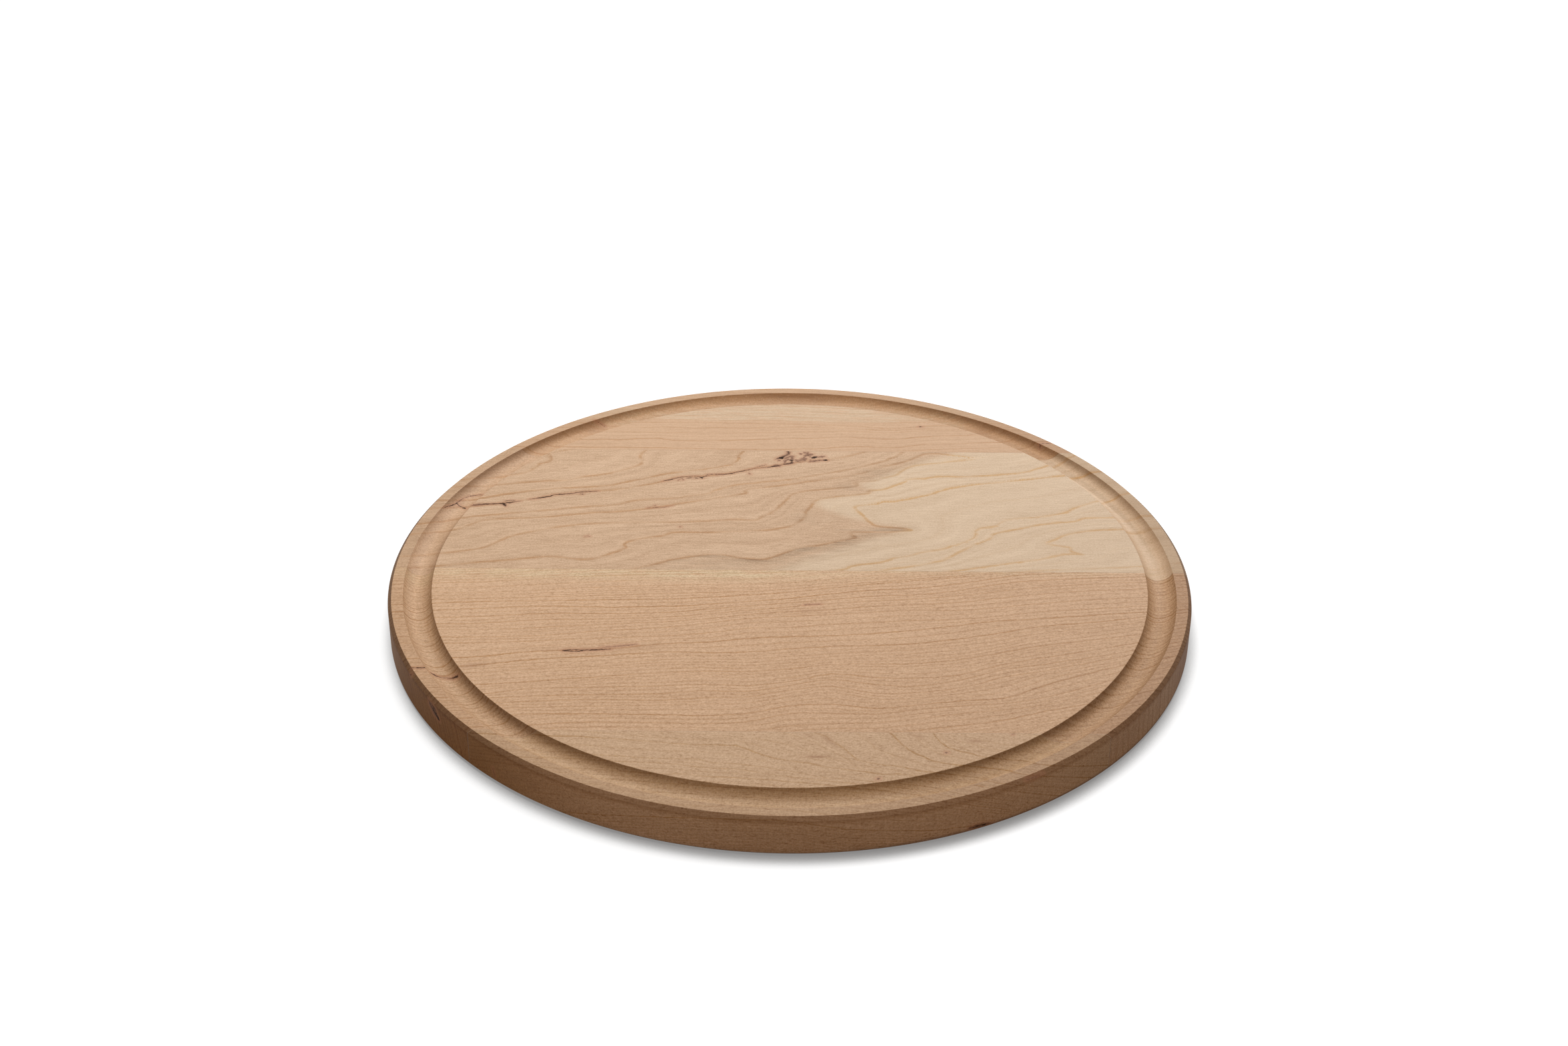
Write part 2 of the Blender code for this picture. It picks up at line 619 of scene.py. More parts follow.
class NodeSheet:
    """Short names for the shader nodes that the finishes are made of."""

    def __init__(self, name: str) -> None:
        """Starts an empty material.

        Args:
            name: The material's name.
        """
        self.material = bpy.data.materials.new(name)
        self.material.use_nodes = True
        self.tree = self.material.node_tree
        self.tree.nodes.clear()

    def node(
        self, kind: str, inputs: dict[int | str, Any] | None = None, **settings: Any
    ) -> bpy.types.Node:
        """Adds one node.

        Args:
            kind: The node's type.
            inputs: Sockets or plain values by input name or number.
            settings: The node's own properties.

        Returns:
            The new node.
        """
        made = self.tree.nodes.new(kind)
        for key, value in settings.items():
            setattr(made, key, value)
        for key, value in (inputs or {}).items():
            if isinstance(value, bpy.types.NodeSocket):
                self.tree.links.new(value, made.inputs[key])
            else:
                made.inputs[key].default_value = value
        return made

    def math(self, operation: str, *values: Number, clamp: bool = False) -> Socket:
        """Adds a Math node.

        Args:
            operation: Its operation.
            values: Its operands, sockets or numbers.
            clamp: Whether the result stays between 0 and 1.

        Returns:
            The result's socket.
        """
        inputs = dict(enumerate(values))
        return self.node("ShaderNodeMath", inputs, operation=operation, use_clamp=clamp).outputs[0]

    def times(self, first: Number, second: Number) -> Socket:
        """Multiplies two numbers."""
        return self.math("MULTIPLY", first, second)

    def fade(
        self, value: Socket, low: float, high: float, at_low: float = 0.0, at_high: float = 1.0
    ) -> Socket:
        """Moves smoothly from one number to another.

        Args:
            value: What decides.
            low: Where the fade starts.
            high: Where it ends.
            at_low: The result at its start.
            at_high: The result at its end.

        Returns:
            The result's socket.
        """
        inputs = {0: value, 1: low, 2: high, 3: at_low, 4: at_high}
        return self.node("ShaderNodeMapRange", inputs, interpolation_type="SMOOTHSTEP").outputs[0]

    def mix(self, factor: Socket, first: Shade, second: Shade) -> Socket:
        """Blends two colours.

        Args:
            factor: The share of the second colour.
            first: The first colour.
            second: The second colour.

        Returns:
            The blend's socket.
        """
        made = self.node("ShaderNodeMix", {0: factor}, data_type="RGBA")
        for number, value in ((6, first), (7, second)):
            if isinstance(value, bpy.types.NodeSocket):
                self.tree.links.new(value, made.inputs[number])
            else:
                made.inputs[number].default_value = (*value, 1.0)
        return made.outputs[2]

    def tinted(self, share: Socket, colour: Socket, tint: Shade) -> Socket:
        """Multiplies a colour by a tint.

        Args:
            share: How much of the tint it takes.
            colour: The colour.
            tint: The tint.

        Returns:
            The tinted colour's socket.
        """
        return self.mix(share, colour, self.vector("MULTIPLY", colour, tint))

    def vector(self, operation: str, *values: Shade, scale: Socket | None = None) -> Socket:
        """Adds a Vector Math node.

        Args:
            operation: Its operation.
            values: Its operands.
            scale: The scale input, where the operation has one.

        Returns:
            The resulting vector's socket.
        """
        inputs: dict[int | str, Any] = dict(enumerate(values))
        if scale is not None:
            inputs["Scale"] = scale
        return self.node("ShaderNodeVectorMath", inputs, operation=operation).outputs[0]

    def parts(self, vector: Socket) -> Sequence[Socket]:
        """Splits a vector into X, Y and Z."""
        return tuple(self.node("ShaderNodeSeparateXYZ", {0: vector}).outputs)

    def place(self) -> Socket:
        """Gives the point's place on the board in metres."""
        return self.node("ShaderNodeTexCoord").outputs["Object"]

    def attribute(self, name: str) -> Socket:
        """Reads a number that the mesh carries."""
        return self.node("ShaderNodeAttribute", attribute_name=name).outputs["Fac"]

    def noise(self, periods: tuple[float, float, float], seed: float, detail: float = 2.0) -> Socket:
        """Adds noise stretched to the given periods.

        Args:
            periods: The noise's period along X, Y and Z in millimetres.
            seed: Where in the noise this wood lies.
            detail: How many finer layers it has.

        Returns:
            The socket of a number round one half.
        """
        scaled = self.vector("MULTIPLY", self.place(), tuple(1.0 / (p * MM) for p in periods))
        moved = self.vector("ADD", scaled, (seed, seed * 0.37 + 11.0, seed * 0.71 + 5.0))
        inputs = {"Vector": moved, "Scale": 1.0, "Detail": detail, "Roughness": 0.55}
        return self.node("ShaderNodeTexNoise", inputs).outputs["Fac"]

    def sway(self, periods: tuple[float, float, float], seed: float, detail: float = 2.0) -> Socket:
        """Adds the same kind of noise, but round zero."""
        return self.math("ADD", self.noise(periods, seed, detail), -0.5)

    def close(self, surface: Socket) -> bpy.types.Material:
        """Joins the surface to the output.

        Args:
            surface: The shader's socket.

        Returns:
            The finished material.
        """
        self.node("ShaderNodeOutputMaterial", {"Surface": surface})
        return self.material


@dataclass(frozen=True)
class Cut:
    """What the shader knows of a point of the wood: its place, and which way its surface was cut."""

    place: Sequence[Socket]
    facing: Sequence[Socket]
    level: Socket
    steep: Socket
    groove: Socket
    outside: Socket

    @classmethod
    def read(cls, sheet: NodeSheet) -> Cut:
        """Reads the point's place, its normal and the numbers that the mesh carries for it.

        Args:
            sheet: The material's nodes.

        Returns:
            The sockets, among them how level and how steep the surface lies.
        """
        facing = sheet.parts(sheet.node("ShaderNodeNewGeometry").outputs["Normal"])
        level = sheet.math("ABSOLUTE", facing[2])
        steep = sheet.fade(level, 0.70, 0.985, 1.0, 0.0)
        place = sheet.parts(sheet.place())
        return cls(place, facing, level, steep, sheet.attribute("groove"), sheet.attribute("outside"))


@dataclass(frozen=True)
class WoodFinish:
    """Fine-sanded fruitwood: its colours, the light and shade painted onto it, and how plainly its rings,
    fibres and pores show.
    """

    name: str
    heart: Colour
    sap: Colour
    smoke: Colour
    seed: float
    line_tint: Colour = (0.80, 0.67, 0.52)
    sap_line_tint: Colour = (0.89, 0.73, 0.50)
    smoke_line_tint: Colour = (0.80, 0.67, 0.52)
    line_half_width: float = 0.95
    line_power: float = 0.8
    line_shadow: float = 0.0
    line_breaks: float = 0.25
    between: float = 0.14
    groove_lines: float = 0.8
    bands: float = 0.24
    fibre: float = 0.30
    grain: float = 0.30
    mottle: float = 0.10
    pores: float = 0.10
    # painted light: the wood grows lighter towards the left and the back
    painted_light_left: float = 0.385
    painted_light_back: float = 0.585
    foot_shade_heights: tuple[float, float] = (3.4, 2.0)
    lower_side_light_heights: tuple[float, float] = (11.0, 1.5)
    collar_shade_heights: tuple[float, float] = (16.0, 18.6)
    # end grain and painted shade, in the groove and on steep faces
    turned_grain_and_shade_tint: Colour = (0.88, 0.79, 0.69)
    # painted shade on groove walls that face the front left and the front right
    front_diagonal_shade_tint: Colour = (0.68, 0.64, 0.60)
    # painted light and shade on the groove floor's front half: lighter at the left, darker at the right
    groove_floor_left_light_tint: Colour = (1.06, 1.10, 1.15)
    groove_floor_right_shade_tint: Colour = (0.92, 0.90, 0.84)
    # painted shade on the rim land
    rim_shade_tint: Colour = (0.74, 0.675, 0.60)
    side_tint: Colour = (0.99, 0.965, 1.05)
    end_tint: Colour = (0.67, 0.69, 0.67)
    left_end_tint: Colour = (0.57, 0.395, 0.17)
    # painted shade on the right end of the side
    right_end_shade_tint: Colour = (0.60, 0.46, 0.34)
    # painted shade along the foot of the side
    foot_shade_tint: Colour = (0.62, 0.58, 0.60)
    # painted shade on the chamfer under the rim and the top of the side
    collar_shade_tint: Colour = (0.79, 0.72, 0.62)
    stain_and_shade: Colour = (0.32, 0.155, 0.072)
    gum_halo: Colour = (0.46, 0.205, 0.11)
    thin_gum: Colour = (0.20, 0.09, 0.047)
    thick_gum: Colour = (0.040, 0.019, 0.010)

    def material(self) -> bpy.types.Material:
        """Builds the wood's material.

        Returns:
            The material, which reads the ring numbers that the stave's mesh carries.
        """
        sheet = NodeSheet(self.name)
        cut = Cut.read(sheet)
        fibre = sheet.noise((6.5, 0.85, 0.85), self.seed, 3.0)
        streak = sheet.noise((60.0, 2.2, 2.2), self.seed + 3.1, 3.0)
        colour, sap, smoke = self._ground(sheet)
        colour = self._lines(sheet, cut, colour, (sap, smoke))
        tone = self._tone(sheet, cut, (fibre, streak), sap)
        warm = sheet.vector("MULTIPLY_ADD", tone, (0.8, 1.0, 1.25), (0.2, 0.0, -0.25))
        colour = sheet.vector("MULTIPLY", colour, warm)
        colour = self._turned_grain_and_shade(sheet, cut, colour)
        colour = self._groove_painted_light(sheet, cut, colour)
        # painted shade: the rim land is darkened, most at the right and front
        colour = sheet.tinted(sheet.attribute("rim_shade"), colour, self.rim_shade_tint)
        colour = self._side(sheet, cut, colour)
        colour, gum = self._gum(sheet, colour)
        height = sheet.math("MULTIPLY_ADD", streak, 0.6, fibre)
        bump = sheet.node("ShaderNodeBump", {"Height": height, "Strength": 0.35, "Distance": 0.00006})
        gloss = sheet.math("MULTIPLY_ADD", gum, -0.24, 0.32)
        inputs = {
            "Base Color": colour,
            "Roughness": sheet.math("MULTIPLY_ADD", fibre, 0.16, 0.56),
            "Normal": bump.outputs[0],
            "Specular IOR Level": sheet.times(gloss, sheet.fade(cut.level, 0.2, 0.8, 0.35, 1.0)),
        }
        return sheet.close(sheet.node("ShaderNodeBsdfPrincipled", inputs).outputs[0])

    def _ground(self, sheet: NodeSheet) -> tuple[Socket, Socket, Socket]:
        """Lays heartwood, sapwood and smoky patches.

        Args:
            sheet: The material's nodes.

        Returns:
            The sockets of the ground colour, the sapwood's share and the smoke's.
        """
        ragged = sheet.noise((14.0, 1.6, 1.6), self.seed + 1.7, 3.0)
        fray = sheet.math("MULTIPLY_ADD", ragged, 0.3, -0.15)
        sap = sheet.math("ADD", sheet.attribute("sap"), fray, clamp=True)
        smoke = sheet.times(sheet.attribute("smoke"), sheet.fade(ragged, 0.36, 0.60, 0.25, 1.2))
        ground = sheet.mix(sap, self.heart, self.sap)
        return sheet.mix(smoke, ground, self.smoke), sap, smoke

    def _lines(self, sheet: NodeSheet, cut: Cut, colour: Socket, shares: tuple[Socket, Socket]) -> Socket:
        """Draws the ring lines, each a thin dark edge with a softer band before it.

        Args:
            sheet: The material's nodes.
            cut: The point's place and surface.
            colour: The colour so far.
            shares: The sapwood's share, where the lines are amber, and the smoke's, where they are greyer.

        Returns:
            The colour's socket with the lines.
        """
        ring = sheet.attribute("ring")
        gap = sheet.attribute("gap")
        shake = sheet.sway((7.0, 2.6, 2.6), self.seed + 2.3, 3.0)
        away = sheet.times(sheet.math("SUBTRACT", ring, sheet.math("ROUND", ring)), gap)
        away = sheet.math("MULTIPLY_ADD", shake, 1.7, away)
        core = sheet.fade(sheet.math("ABSOLUTE", away), 0.0, self.line_half_width, 1.0, 0.0)
        soft = sheet.times(sheet.fade(away, -3.6, 0.0), sheet.fade(away, 0.0, 0.9, 1.0, 0.0))
        drawn = sheet.times(sheet.math("MULTIPLY_ADD", soft, self.line_shadow, core), sheet.attribute("mark"))
        drawn = sheet.math("ADD", drawn, self._lines_between(sheet, ring, gap, shake))
        uneven = sheet.noise((26.0, 7.0, 7.0), self.seed + 4.9, 2.0)
        weight = sheet.fade(uneven, 0.3, 0.62, self.line_breaks, 1.0)
        weight = sheet.times(weight, sheet.math("MULTIPLY_ADD", cut.steep, self.groove_lines - 1.0, 1.0))
        share = sheet.math("MULTIPLY", drawn, sheet.times(weight, self.line_power), clamp=True)
        tint = sheet.mix(shares[0], self.line_tint, self.sap_line_tint)
        return sheet.tinted(share, colour, sheet.mix(shares[1], tint, self.smoke_line_tint))

    def _lines_between(self, sheet: NodeSheet, ring: Socket, gap: Socket, shake: Socket) -> Socket:
        """Draws a fainter line halfway between two ring lines that lie far apart.

        Args:
            sheet: The material's nodes.
            ring: The ring count.
            gap: The distance between the two ring lines.
            shake: The noise that makes the lines waver.

        Returns:
            The socket of the fainter lines' share.
        """
        moved = sheet.math("SUBTRACT", ring, 0.5)
        away = sheet.times(sheet.math("SUBTRACT", moved, sheet.math("ROUND", moved)), gap)
        away = sheet.math("ABSOLUTE", sheet.math("MULTIPLY_ADD", shake, 2.2, away))
        core = sheet.fade(away, 0.0, self.line_half_width * 0.9, self.between, 0.0)
        return sheet.times(core, sheet.fade(gap, 2.8, 4.4))

    def _tone(self, sheet: NodeSheet, cut: Cut, long_grain: tuple[Socket, Socket], sap: Socket) -> Socket:
        """Adds up the wood's small changes of brightness, with painted light that grows towards the left and
        the back.

        Args:
            sheet: The material's nodes.
            cut: The point's place and surface.
            long_grain: Noise of single fibres and of longer streaks.
            sap: The sapwood's share, whose grain is calmer.

        Returns:
            The socket of a factor round one.
        """
        x, y, _ = cut.place
        where = {0: sheet.times(sheet.attribute("ring"), 5.0), 1: sheet.times(x, 14.0), 2: self.seed}
        place = sheet.node("ShaderNodeCombineXYZ", where).outputs[0]
        inputs = {"Vector": place, "Scale": 1.0, "Detail": 2.0}
        bands = sheet.node("ShaderNodeTexNoise", inputs).outputs["Fac"]
        banding = sheet.math("MULTIPLY_ADD", cut.steep, self.bands * 0.25, self.bands)
        mottle = sheet.noise((34.0, 12.0, 12.0), self.seed + 7.7, 2.0)
        grain = sheet.noise((0.85, 0.8, 0.8), self.seed + 12.6, 1.0)
        pores = sheet.fade(sheet.noise((2.4, 0.7, 0.7), self.seed + 9.4, 1.0), 0.54, 0.72)
        fine = sheet.times(pores, -self.pores)
        fibre, streak = long_grain
        for noise, amount in (
            (fibre, self.fibre),
            (grain, self.grain),
            (streak, self.mottle),
            (mottle, self.mottle),
            (bands, banding),
        ):
            fine = sheet.math("ADD", fine, sheet.times(sheet.math("ADD", noise, -0.5), amount))
        fine = sheet.times(fine, sheet.math("MULTIPLY_ADD", sap, -0.4, 1.0))
        # painted light: lighter towards the left and the back
        tone = sheet.math("MULTIPLY_ADD", x, -self.painted_light_left, 1.0)
        tone = sheet.math("MULTIPLY_ADD", y, self.painted_light_back, tone)
        return sheet.math("ADD", tone, fine)

    def _turned_grain_and_shade(self, sheet: NodeSheet, cut: Cut, colour: Socket) -> Socket:
        """Deepens the wood cut across its fibres, partly as painted shade, and paints shade on groove walls
        facing the front.

        Args:
            sheet: The material's nodes.
            cut: The point's place and surface.
            colour: The colour so far.

        Returns:
            The colour's socket.
        """
        grains = sheet.noise((0.8, 0.8, 0.8), self.seed + 6.2, 2.0)
        # end grain where the tool cut across the fibres, and painted shade: the groove and steep faces
        # darkened and warmed
        turned = sheet.math("MULTIPLY_ADD", cut.groove, 0.5, sheet.times(cut.steep, 0.5))
        turned = sheet.times(turned, sheet.fade(grains, 0.3, 0.7, 0.55, 1.4))
        colour = sheet.tinted(turned, colour, self.turned_grain_and_shade_tint)
        # painted shade: groove walls that face the front left and the front right are darkened
        slanting = sheet.times(sheet.math("ABSOLUTE", cut.facing[0]), cut.facing[1])
        corner = sheet.times(sheet.fade(slanting, -0.07, -0.36), cut.groove)
        return sheet.tinted(corner, colour, self.front_diagonal_shade_tint)

    def _groove_painted_light(self, sheet: NodeSheet, cut: Cut, colour: Socket) -> Socket:
        """Paints light and shade round the groove: on its floor in the front half, and on its outer wall.

        Args:
            sheet: The material's nodes.
            cut: The point's place and surface.
            colour: The colour so far.

        Returns:
            The colour's socket.
        """
        x, y, _ = cut.place
        # painted light and shade: the groove's floor in the front half is lighter and bluer at the left,
        # darker at the right
        tint = sheet.mix(sheet.fade(x, 0.02, 0.11), self.groove_floor_left_light_tint, self.groove_floor_right_shade_tint)
        floor = sheet.times(sheet.fade(cut.facing[2], 0.93, 0.985), cut.groove)
        colour = sheet.tinted(sheet.times(floor, sheet.fade(y, 0.02, -0.06)), colour, tint)
        # painted light and shade: the outer wall is lighter at the back and right, darker at the front and
        # left
        inward = sheet.math("MULTIPLY_ADD", y, cut.facing[1], sheet.times(x, cut.facing[0]))
        wall = sheet.times(sheet.fade(inward, -0.03, -0.09), cut.groove)
        lift = sheet.fade(sheet.math("MULTIPLY_ADD", y, 2.0, x), 0.0, 0.30, -0.07, 0.17)
        return sheet.vector("SCALE", colour, scale=sheet.math("MULTIPLY_ADD", lift, wall, 1.0))

    def _side(self, sheet: NodeSheet, cut: Cut, colour: Socket) -> Socket:
        """Darkens the end grain and the left end, paints light and shade on the side, and adds the tool's
        upright marks.

        Args:
            sheet: The material's nodes.
            cut: The point's place and surface.
            colour: The colour so far.

        Returns:
            The colour's socket.
        """
        x, _, z = cut.place
        height = sheet.math("DIVIDE", z, MM)
        upright = sheet.fade(cut.level, 0.2, 0.35, 1.0, 0.0)
        edge = sheet.times(sheet.fade(cut.level, 0.75, 0.95, 1.0, 0.0), cut.outside)
        ends = sheet.times(edge, sheet.fade(sheet.math("ABSOLUTE", x), 0.07, 0.2))
        left = sheet.math("MAXIMUM", upright, sheet.times(edge, 0.45))
        left = sheet.times(left, sheet.fade(x, -0.05, -0.175))
        left = sheet.times(left, sheet.fade(x, -0.198, -0.182, 0.65, 1.0))
        # painted shade: the right end of the side is darkened
        right = sheet.times(upright, sheet.fade(x, 0.175, 0.196))
        # painted shade: the foot of the side is darkened on the right half
        foot = sheet.times(sheet.fade(height, *self.foot_shade_heights), sheet.fade(x, 0.0, 0.08))
        foot = sheet.times(foot, upright)
        # painted shade: the chamfer under the rim and the top of the side are darkened
        collar = sheet.fade(cut.facing[2], 0.72, 0.9, 1.0, 0.0)
        collar = sheet.times(collar, sheet.fade(height, *self.collar_shade_heights))
        collar = sheet.times(collar, cut.outside)
        for share, tint in (
            (edge, self.side_tint),
            (ends, self.end_tint),
            (left, self.left_end_tint),
            (right, self.right_end_shade_tint),
            (foot, self.foot_shade_tint),
            (collar, self.collar_shade_tint),
        ):
            colour = sheet.tinted(share, colour, tint)
        chatter = sheet.sway((0.9, 0.9, 14.0), self.seed + 8.3, 1.0)
        # painted light: the side grows lighter towards its foot; the chatter is the tool's upright marks
        pale = sheet.fade(height, *self.lower_side_light_heights, 0.0, 0.15)
        lift = sheet.math("MULTIPLY_ADD", chatter, 0.12, pale)
        return sheet.vector("SCALE", colour, scale=sheet.math("MULTIPLY_ADD", lift, upright, 1.0))

    def _gum(self, sheet: NodeSheet, colour: Socket) -> tuple[Socket, Socket]:
        """Lays the brown stains and painted shade, the reddish halo and the dark gum over the wood.

        Args:
            sheet: The material's nodes.
            colour: The colour so far.

        Returns:
            The colour's socket and the black gum's share.
        """
        ragged = sheet.sway((1.3, 0.7, 0.7), self.seed + 5.5, 4.0)
        black = sheet.math("MULTIPLY_ADD", ragged, 1.5, sheet.attribute(Gum.BLACK.value))
        brown = sheet.math("MULTIPLY_ADD", ragged, 2.2, sheet.attribute(Gum.BROWN.value))
        uneven = sheet.math("MULTIPLY_ADD", ragged, 1.2, 1.0)
        # stains, and the painted shadow under the back lip
        stain_and_shade = sheet.math("MULTIPLY", sheet.attribute("stain_and_shade"), uneven, clamp=True)
        colour = sheet.mix(stain_and_shade, colour, self.stain_and_shade)
        halo = sheet.fade(sheet.math("MAXIMUM", black, brown), -2.4, -0.1, 0.0, 0.42)
        colour = sheet.mix(halo, colour, self.gum_halo)
        colour = sheet.mix(sheet.fade(brown, -0.6, 0.5, 0.0, 0.85), colour, self.thin_gum)
        patchy = sheet.fade(sheet.noise((3.0, 1.1, 1.1), self.seed + 13.7, 2.0), 0.36, 0.6, 0.5, 1.0)
        patchy = sheet.math("MAXIMUM", patchy, sheet.fade(black, 0.25, 0.55))
        gum = sheet.times(sheet.fade(black, -0.28, 0.22), patchy)
        return sheet.mix(gum, colour, self.thick_gum), gum


@dataclass(frozen=True)
class GlueFinish:
    """Set wood glue, a brown hair line between two staves."""

    name: str = "set_wood_glue"
    colour: Colour = (0.44, 0.29, 0.185)
    deep: Colour = (0.31, 0.195, 0.12)
    on_side: Colour = (0.12, 0.07, 0.042)
    roughness: float = 0.5

    def material(self) -> bpy.types.Material:
        """Builds the glue's material.

        Returns:
            The material, uneven along the seam where more or less glue has been squeezed out.
        """
        sheet = NodeSheet(self.name)
        runs = sheet.noise((9.0, 2.0, 2.0), 21.0, 3.0)
        grains = sheet.noise((0.8, 0.8, 0.8), 27.0, 2.0)
        colour = sheet.mix(sheet.fade(runs, 0.35, 0.65), self.colour, self.deep)
        colour = sheet.vector("SCALE", colour, scale=sheet.math("MULTIPLY_ADD", grains, 0.3, 0.85))
        normal = sheet.node("ShaderNodeNewGeometry").outputs["Normal"]
        level = sheet.math("ABSOLUTE", sheet.parts(normal)[2])
        colour = sheet.mix(sheet.fade(level, 0.2, 0.8, 1.0, 0.0), colour, self.on_side)
        bump = sheet.node("ShaderNodeBump", {"Height": grains, "Strength": 0.3, "Distance": 0.00005})
        rough = sheet.math("MULTIPLY_ADD", grains, 0.1, self.roughness - 0.05)
        inputs = {"Base Color": colour, "Roughness": rough, "Normal": bump.outputs[0]}
        return sheet.close(sheet.node("ShaderNodeBsdfPrincipled", inputs).outputs[0])


# Staves and glue


@dataclass
class Stave:
    """One plank of the board with its own figure, colour and marks."""

    name: str
    front: float
    back: float
    figure: Figure
    finish: WoodFinish
    gum: tuple[Strand | Scar, ...] = ()
    stains_and_shade: tuple[Patch, ...] = ()
    smoke: tuple[Patch, ...] = ()
    sap_edge: RingLine | None = None
    sap_fade: tuple[float, float] = (-3.5, 4.0)
    fine_reach: float = 2.2
    fine_cuts: int = 4
    # painted shade on the rim land: its strength in the middle, growing to the right, a little to the left
    # and to the front
    rim_shade_middle: float = 0.35
    rim_shade_right: float = 0.65
    rim_shade_left: float = 0.14
    rim_shade_front: float = 0.10

    def build(self, shape: TurnedShape) -> bpy.types.Object:
        """Saws the stave out of the turned board, marks its figure and dresses it.

        Args:
            shape: The whole turned board.

        Returns:
            The stave.
        """
        piece = shape.slice(f"{self.name}_wood", self.front, self.back)
        if self.gum:
            self._refine(piece, shape.sizes)
        self._carry_figure(piece, shape.sizes)
        piece.data.materials.append(self.finish.material())
        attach(piece, "root")
        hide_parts(self.name)
        return piece

    def _places(self, piece: bpy.types.Object, sizes: BoardSizes) -> Places:
        """Reads where the stave's points are.

        Args:
            piece: The stave.
            sizes: The board's lengths.

        Returns:
            The places.
        """
        flat = np.empty(len(piece.data.vertices) * 3, dtype=np.float32)
        piece.data.vertices.foreach_get("co", flat)
        x, y, z = (flat.reshape(-1, 3).astype(float) / MM).T
        return Places(x, y, z, self.figure.on_face(x, y, sizes.thickness - z))

    def _refine(self, piece: bpy.types.Object, sizes: BoardSizes) -> None:
        """Divides the mesh finely near gum and knots, whose edges are sharp.

        Args:
            piece: The stave.
            sizes: The board's lengths.
        """
        places = self._places(piece, sizes)
        strands = [mark for mark in self.gum if isinstance(mark, Strand)]
        scars = [mark for mark in self.gum if isinstance(mark, Scar)]
        near = strongest(strands, places, FAR_OFF) > -self.fine_reach
        near &= places.z > sizes.thickness - sizes.groove_depth - 0.5
        near |= strongest(scars, places, FAR_OFF) > -self.fine_reach
        bm = bmesh.new()
        bm.from_mesh(piece.data)
        bm.verts.ensure_lookup_table()
        edges = [e for e in bm.edges if near[e.verts[0].index] and near[e.verts[1].index]]
        bmesh.ops.subdivide_edges(bm, edges=edges, cuts=self.fine_cuts, use_grid_fill=True)
        bm.to_mesh(piece.data)
        bm.free()

    def _carry_figure(self, piece: bpy.types.Object, sizes: BoardSizes) -> None:
        """Writes the ring count and the marks onto the mesh.

        Args:
            piece: The stave.
            sizes: The board's lengths.
        """
        places = self._places(piece, sizes)
        numbers = self.figure.read(places.x, places.face_y)
        for tone in Gum:
            marks = [mark for mark in self.gum if mark.gum is tone]
            numbers[tone.value] = strongest(marks, places, NO_GUM)
        numbers["stain_and_shade"] = strongest(self.stains_and_shade, places, 0.0)
        numbers["smoke"] = strongest(self.smoke, places, 0.0)
        numbers["sap"] = self._sapwood(places)
        numbers["rim_shade"] = self._rim_shade(places, sizes)
        out = np.hypot(places.x, places.y)
        numbers["outside"] = np.where(out > sizes.outer_lip + 1.0, 1.0, 0.0)
        groove = np.abs(out - sizes.groove_centre) < sizes.groove_width / 2.0 + 0.1
        groove &= sizes.thickness - places.z < sizes.groove_depth + 1.0
        numbers["groove"] = np.where(groove, 1.0, 0.0)
        for name, values in numbers.items():
            layer = piece.data.attributes.new(name, "FLOAT", "POINT")
            layer.data.foreach_set("value", values.astype(np.float32))

    def _sapwood(self, places: Places) -> np.ndarray:
        """Finds the pale sapwood beyond the line where the heart ends.

        Args:
            places: The places.

        Returns:
            0 in heartwood and 1 in sapwood.
        """
        if self.sap_edge is None:
            return np.zeros(len(places.x))
        start, end = self.sap_fade
        share = (side_of(self.sap_edge.curve(), places.x, places.face_y) - start) / (end - start)
        share = np.clip(share, 0.0, 1.0)
        return share * share * (3.0 - 2.0 * share)

    def _rim_shade(self, places: Places, sizes: BoardSizes) -> np.ndarray:
        """Finds the rim land and the painted shade that darkens it, most of all at the right and least at the
        back.

        Args:
            places: The places.
            sizes: The board's lengths.

        Returns:
            0 off the rim, and up to 1 on it.
        """
        rim = np.hypot(places.x, places.y) > sizes.outer_lip - 0.1
        rim &= places.z > sizes.thickness - sizes.chamfer - 0.05
        right = places.x / sizes.radius
        back = places.y / sizes.radius
        rise = np.where(right > 0.0, self.rim_shade_right, -self.rim_shade_left)
        return np.where(rim, self.rim_shade_middle + rise * right - self.rim_shade_front * back, 0.0)


@dataclass
class GlueFilm:
    """The set glue that fills one seam."""

    name: str
    slot: str
    seam: float
    finish: GlueFinish

    def build(self, shape: TurnedShape) -> bpy.types.Object:
        """Cuts the film out of the turned outline, so that it ends flush with both staves.

        Args:
            shape: The whole turned board.

        Returns:
            The film.
        """
        half = shape.sizes.glue_film / 2.0
        piece = shape.slice(f"{self.name}_line", self.seam - half, self.seam + half)
        piece.data.materials.append(self.finish.material())
        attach(piece, "root")
        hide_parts(self.name)
        return piece


# What each stave shows, read off the cutting face, in millimetres from the board's middle

STATIONS = (-175, -150, -120, -90, -60, -40, -20, 0, 20, 40, 60, 80, 100, 120, 150, 175)
"""X of the places where a nearly straight ring line is given."""


def along_stations(strength: float, *heights: float) -> RingLine:
    """Gives a nearly straight ring line by its Y at the stations.

    Args:
        strength: How plainly it shows.
        heights: Its Y at each station from left to right.

    Returns:
        The ring line.
    """
    return RingLine(strength, tuple(zip(STATIONS, heights)))


def ring(strength: float, *points: Point) -> RingLine:
    """Gives a ring line by its own points."""
    return RingLine(strength, points)


def black(*points: tuple[float, float, float]) -> Strand:
    """Gives a thread of black gum by its X, Y and half width."""
    return Strand(points)


def brown(*points: tuple[float, float, float]) -> Strand:
    """Gives a thread of thin brown gum by its X, Y and half width."""
    return Strand(points, Gum.BROWN)


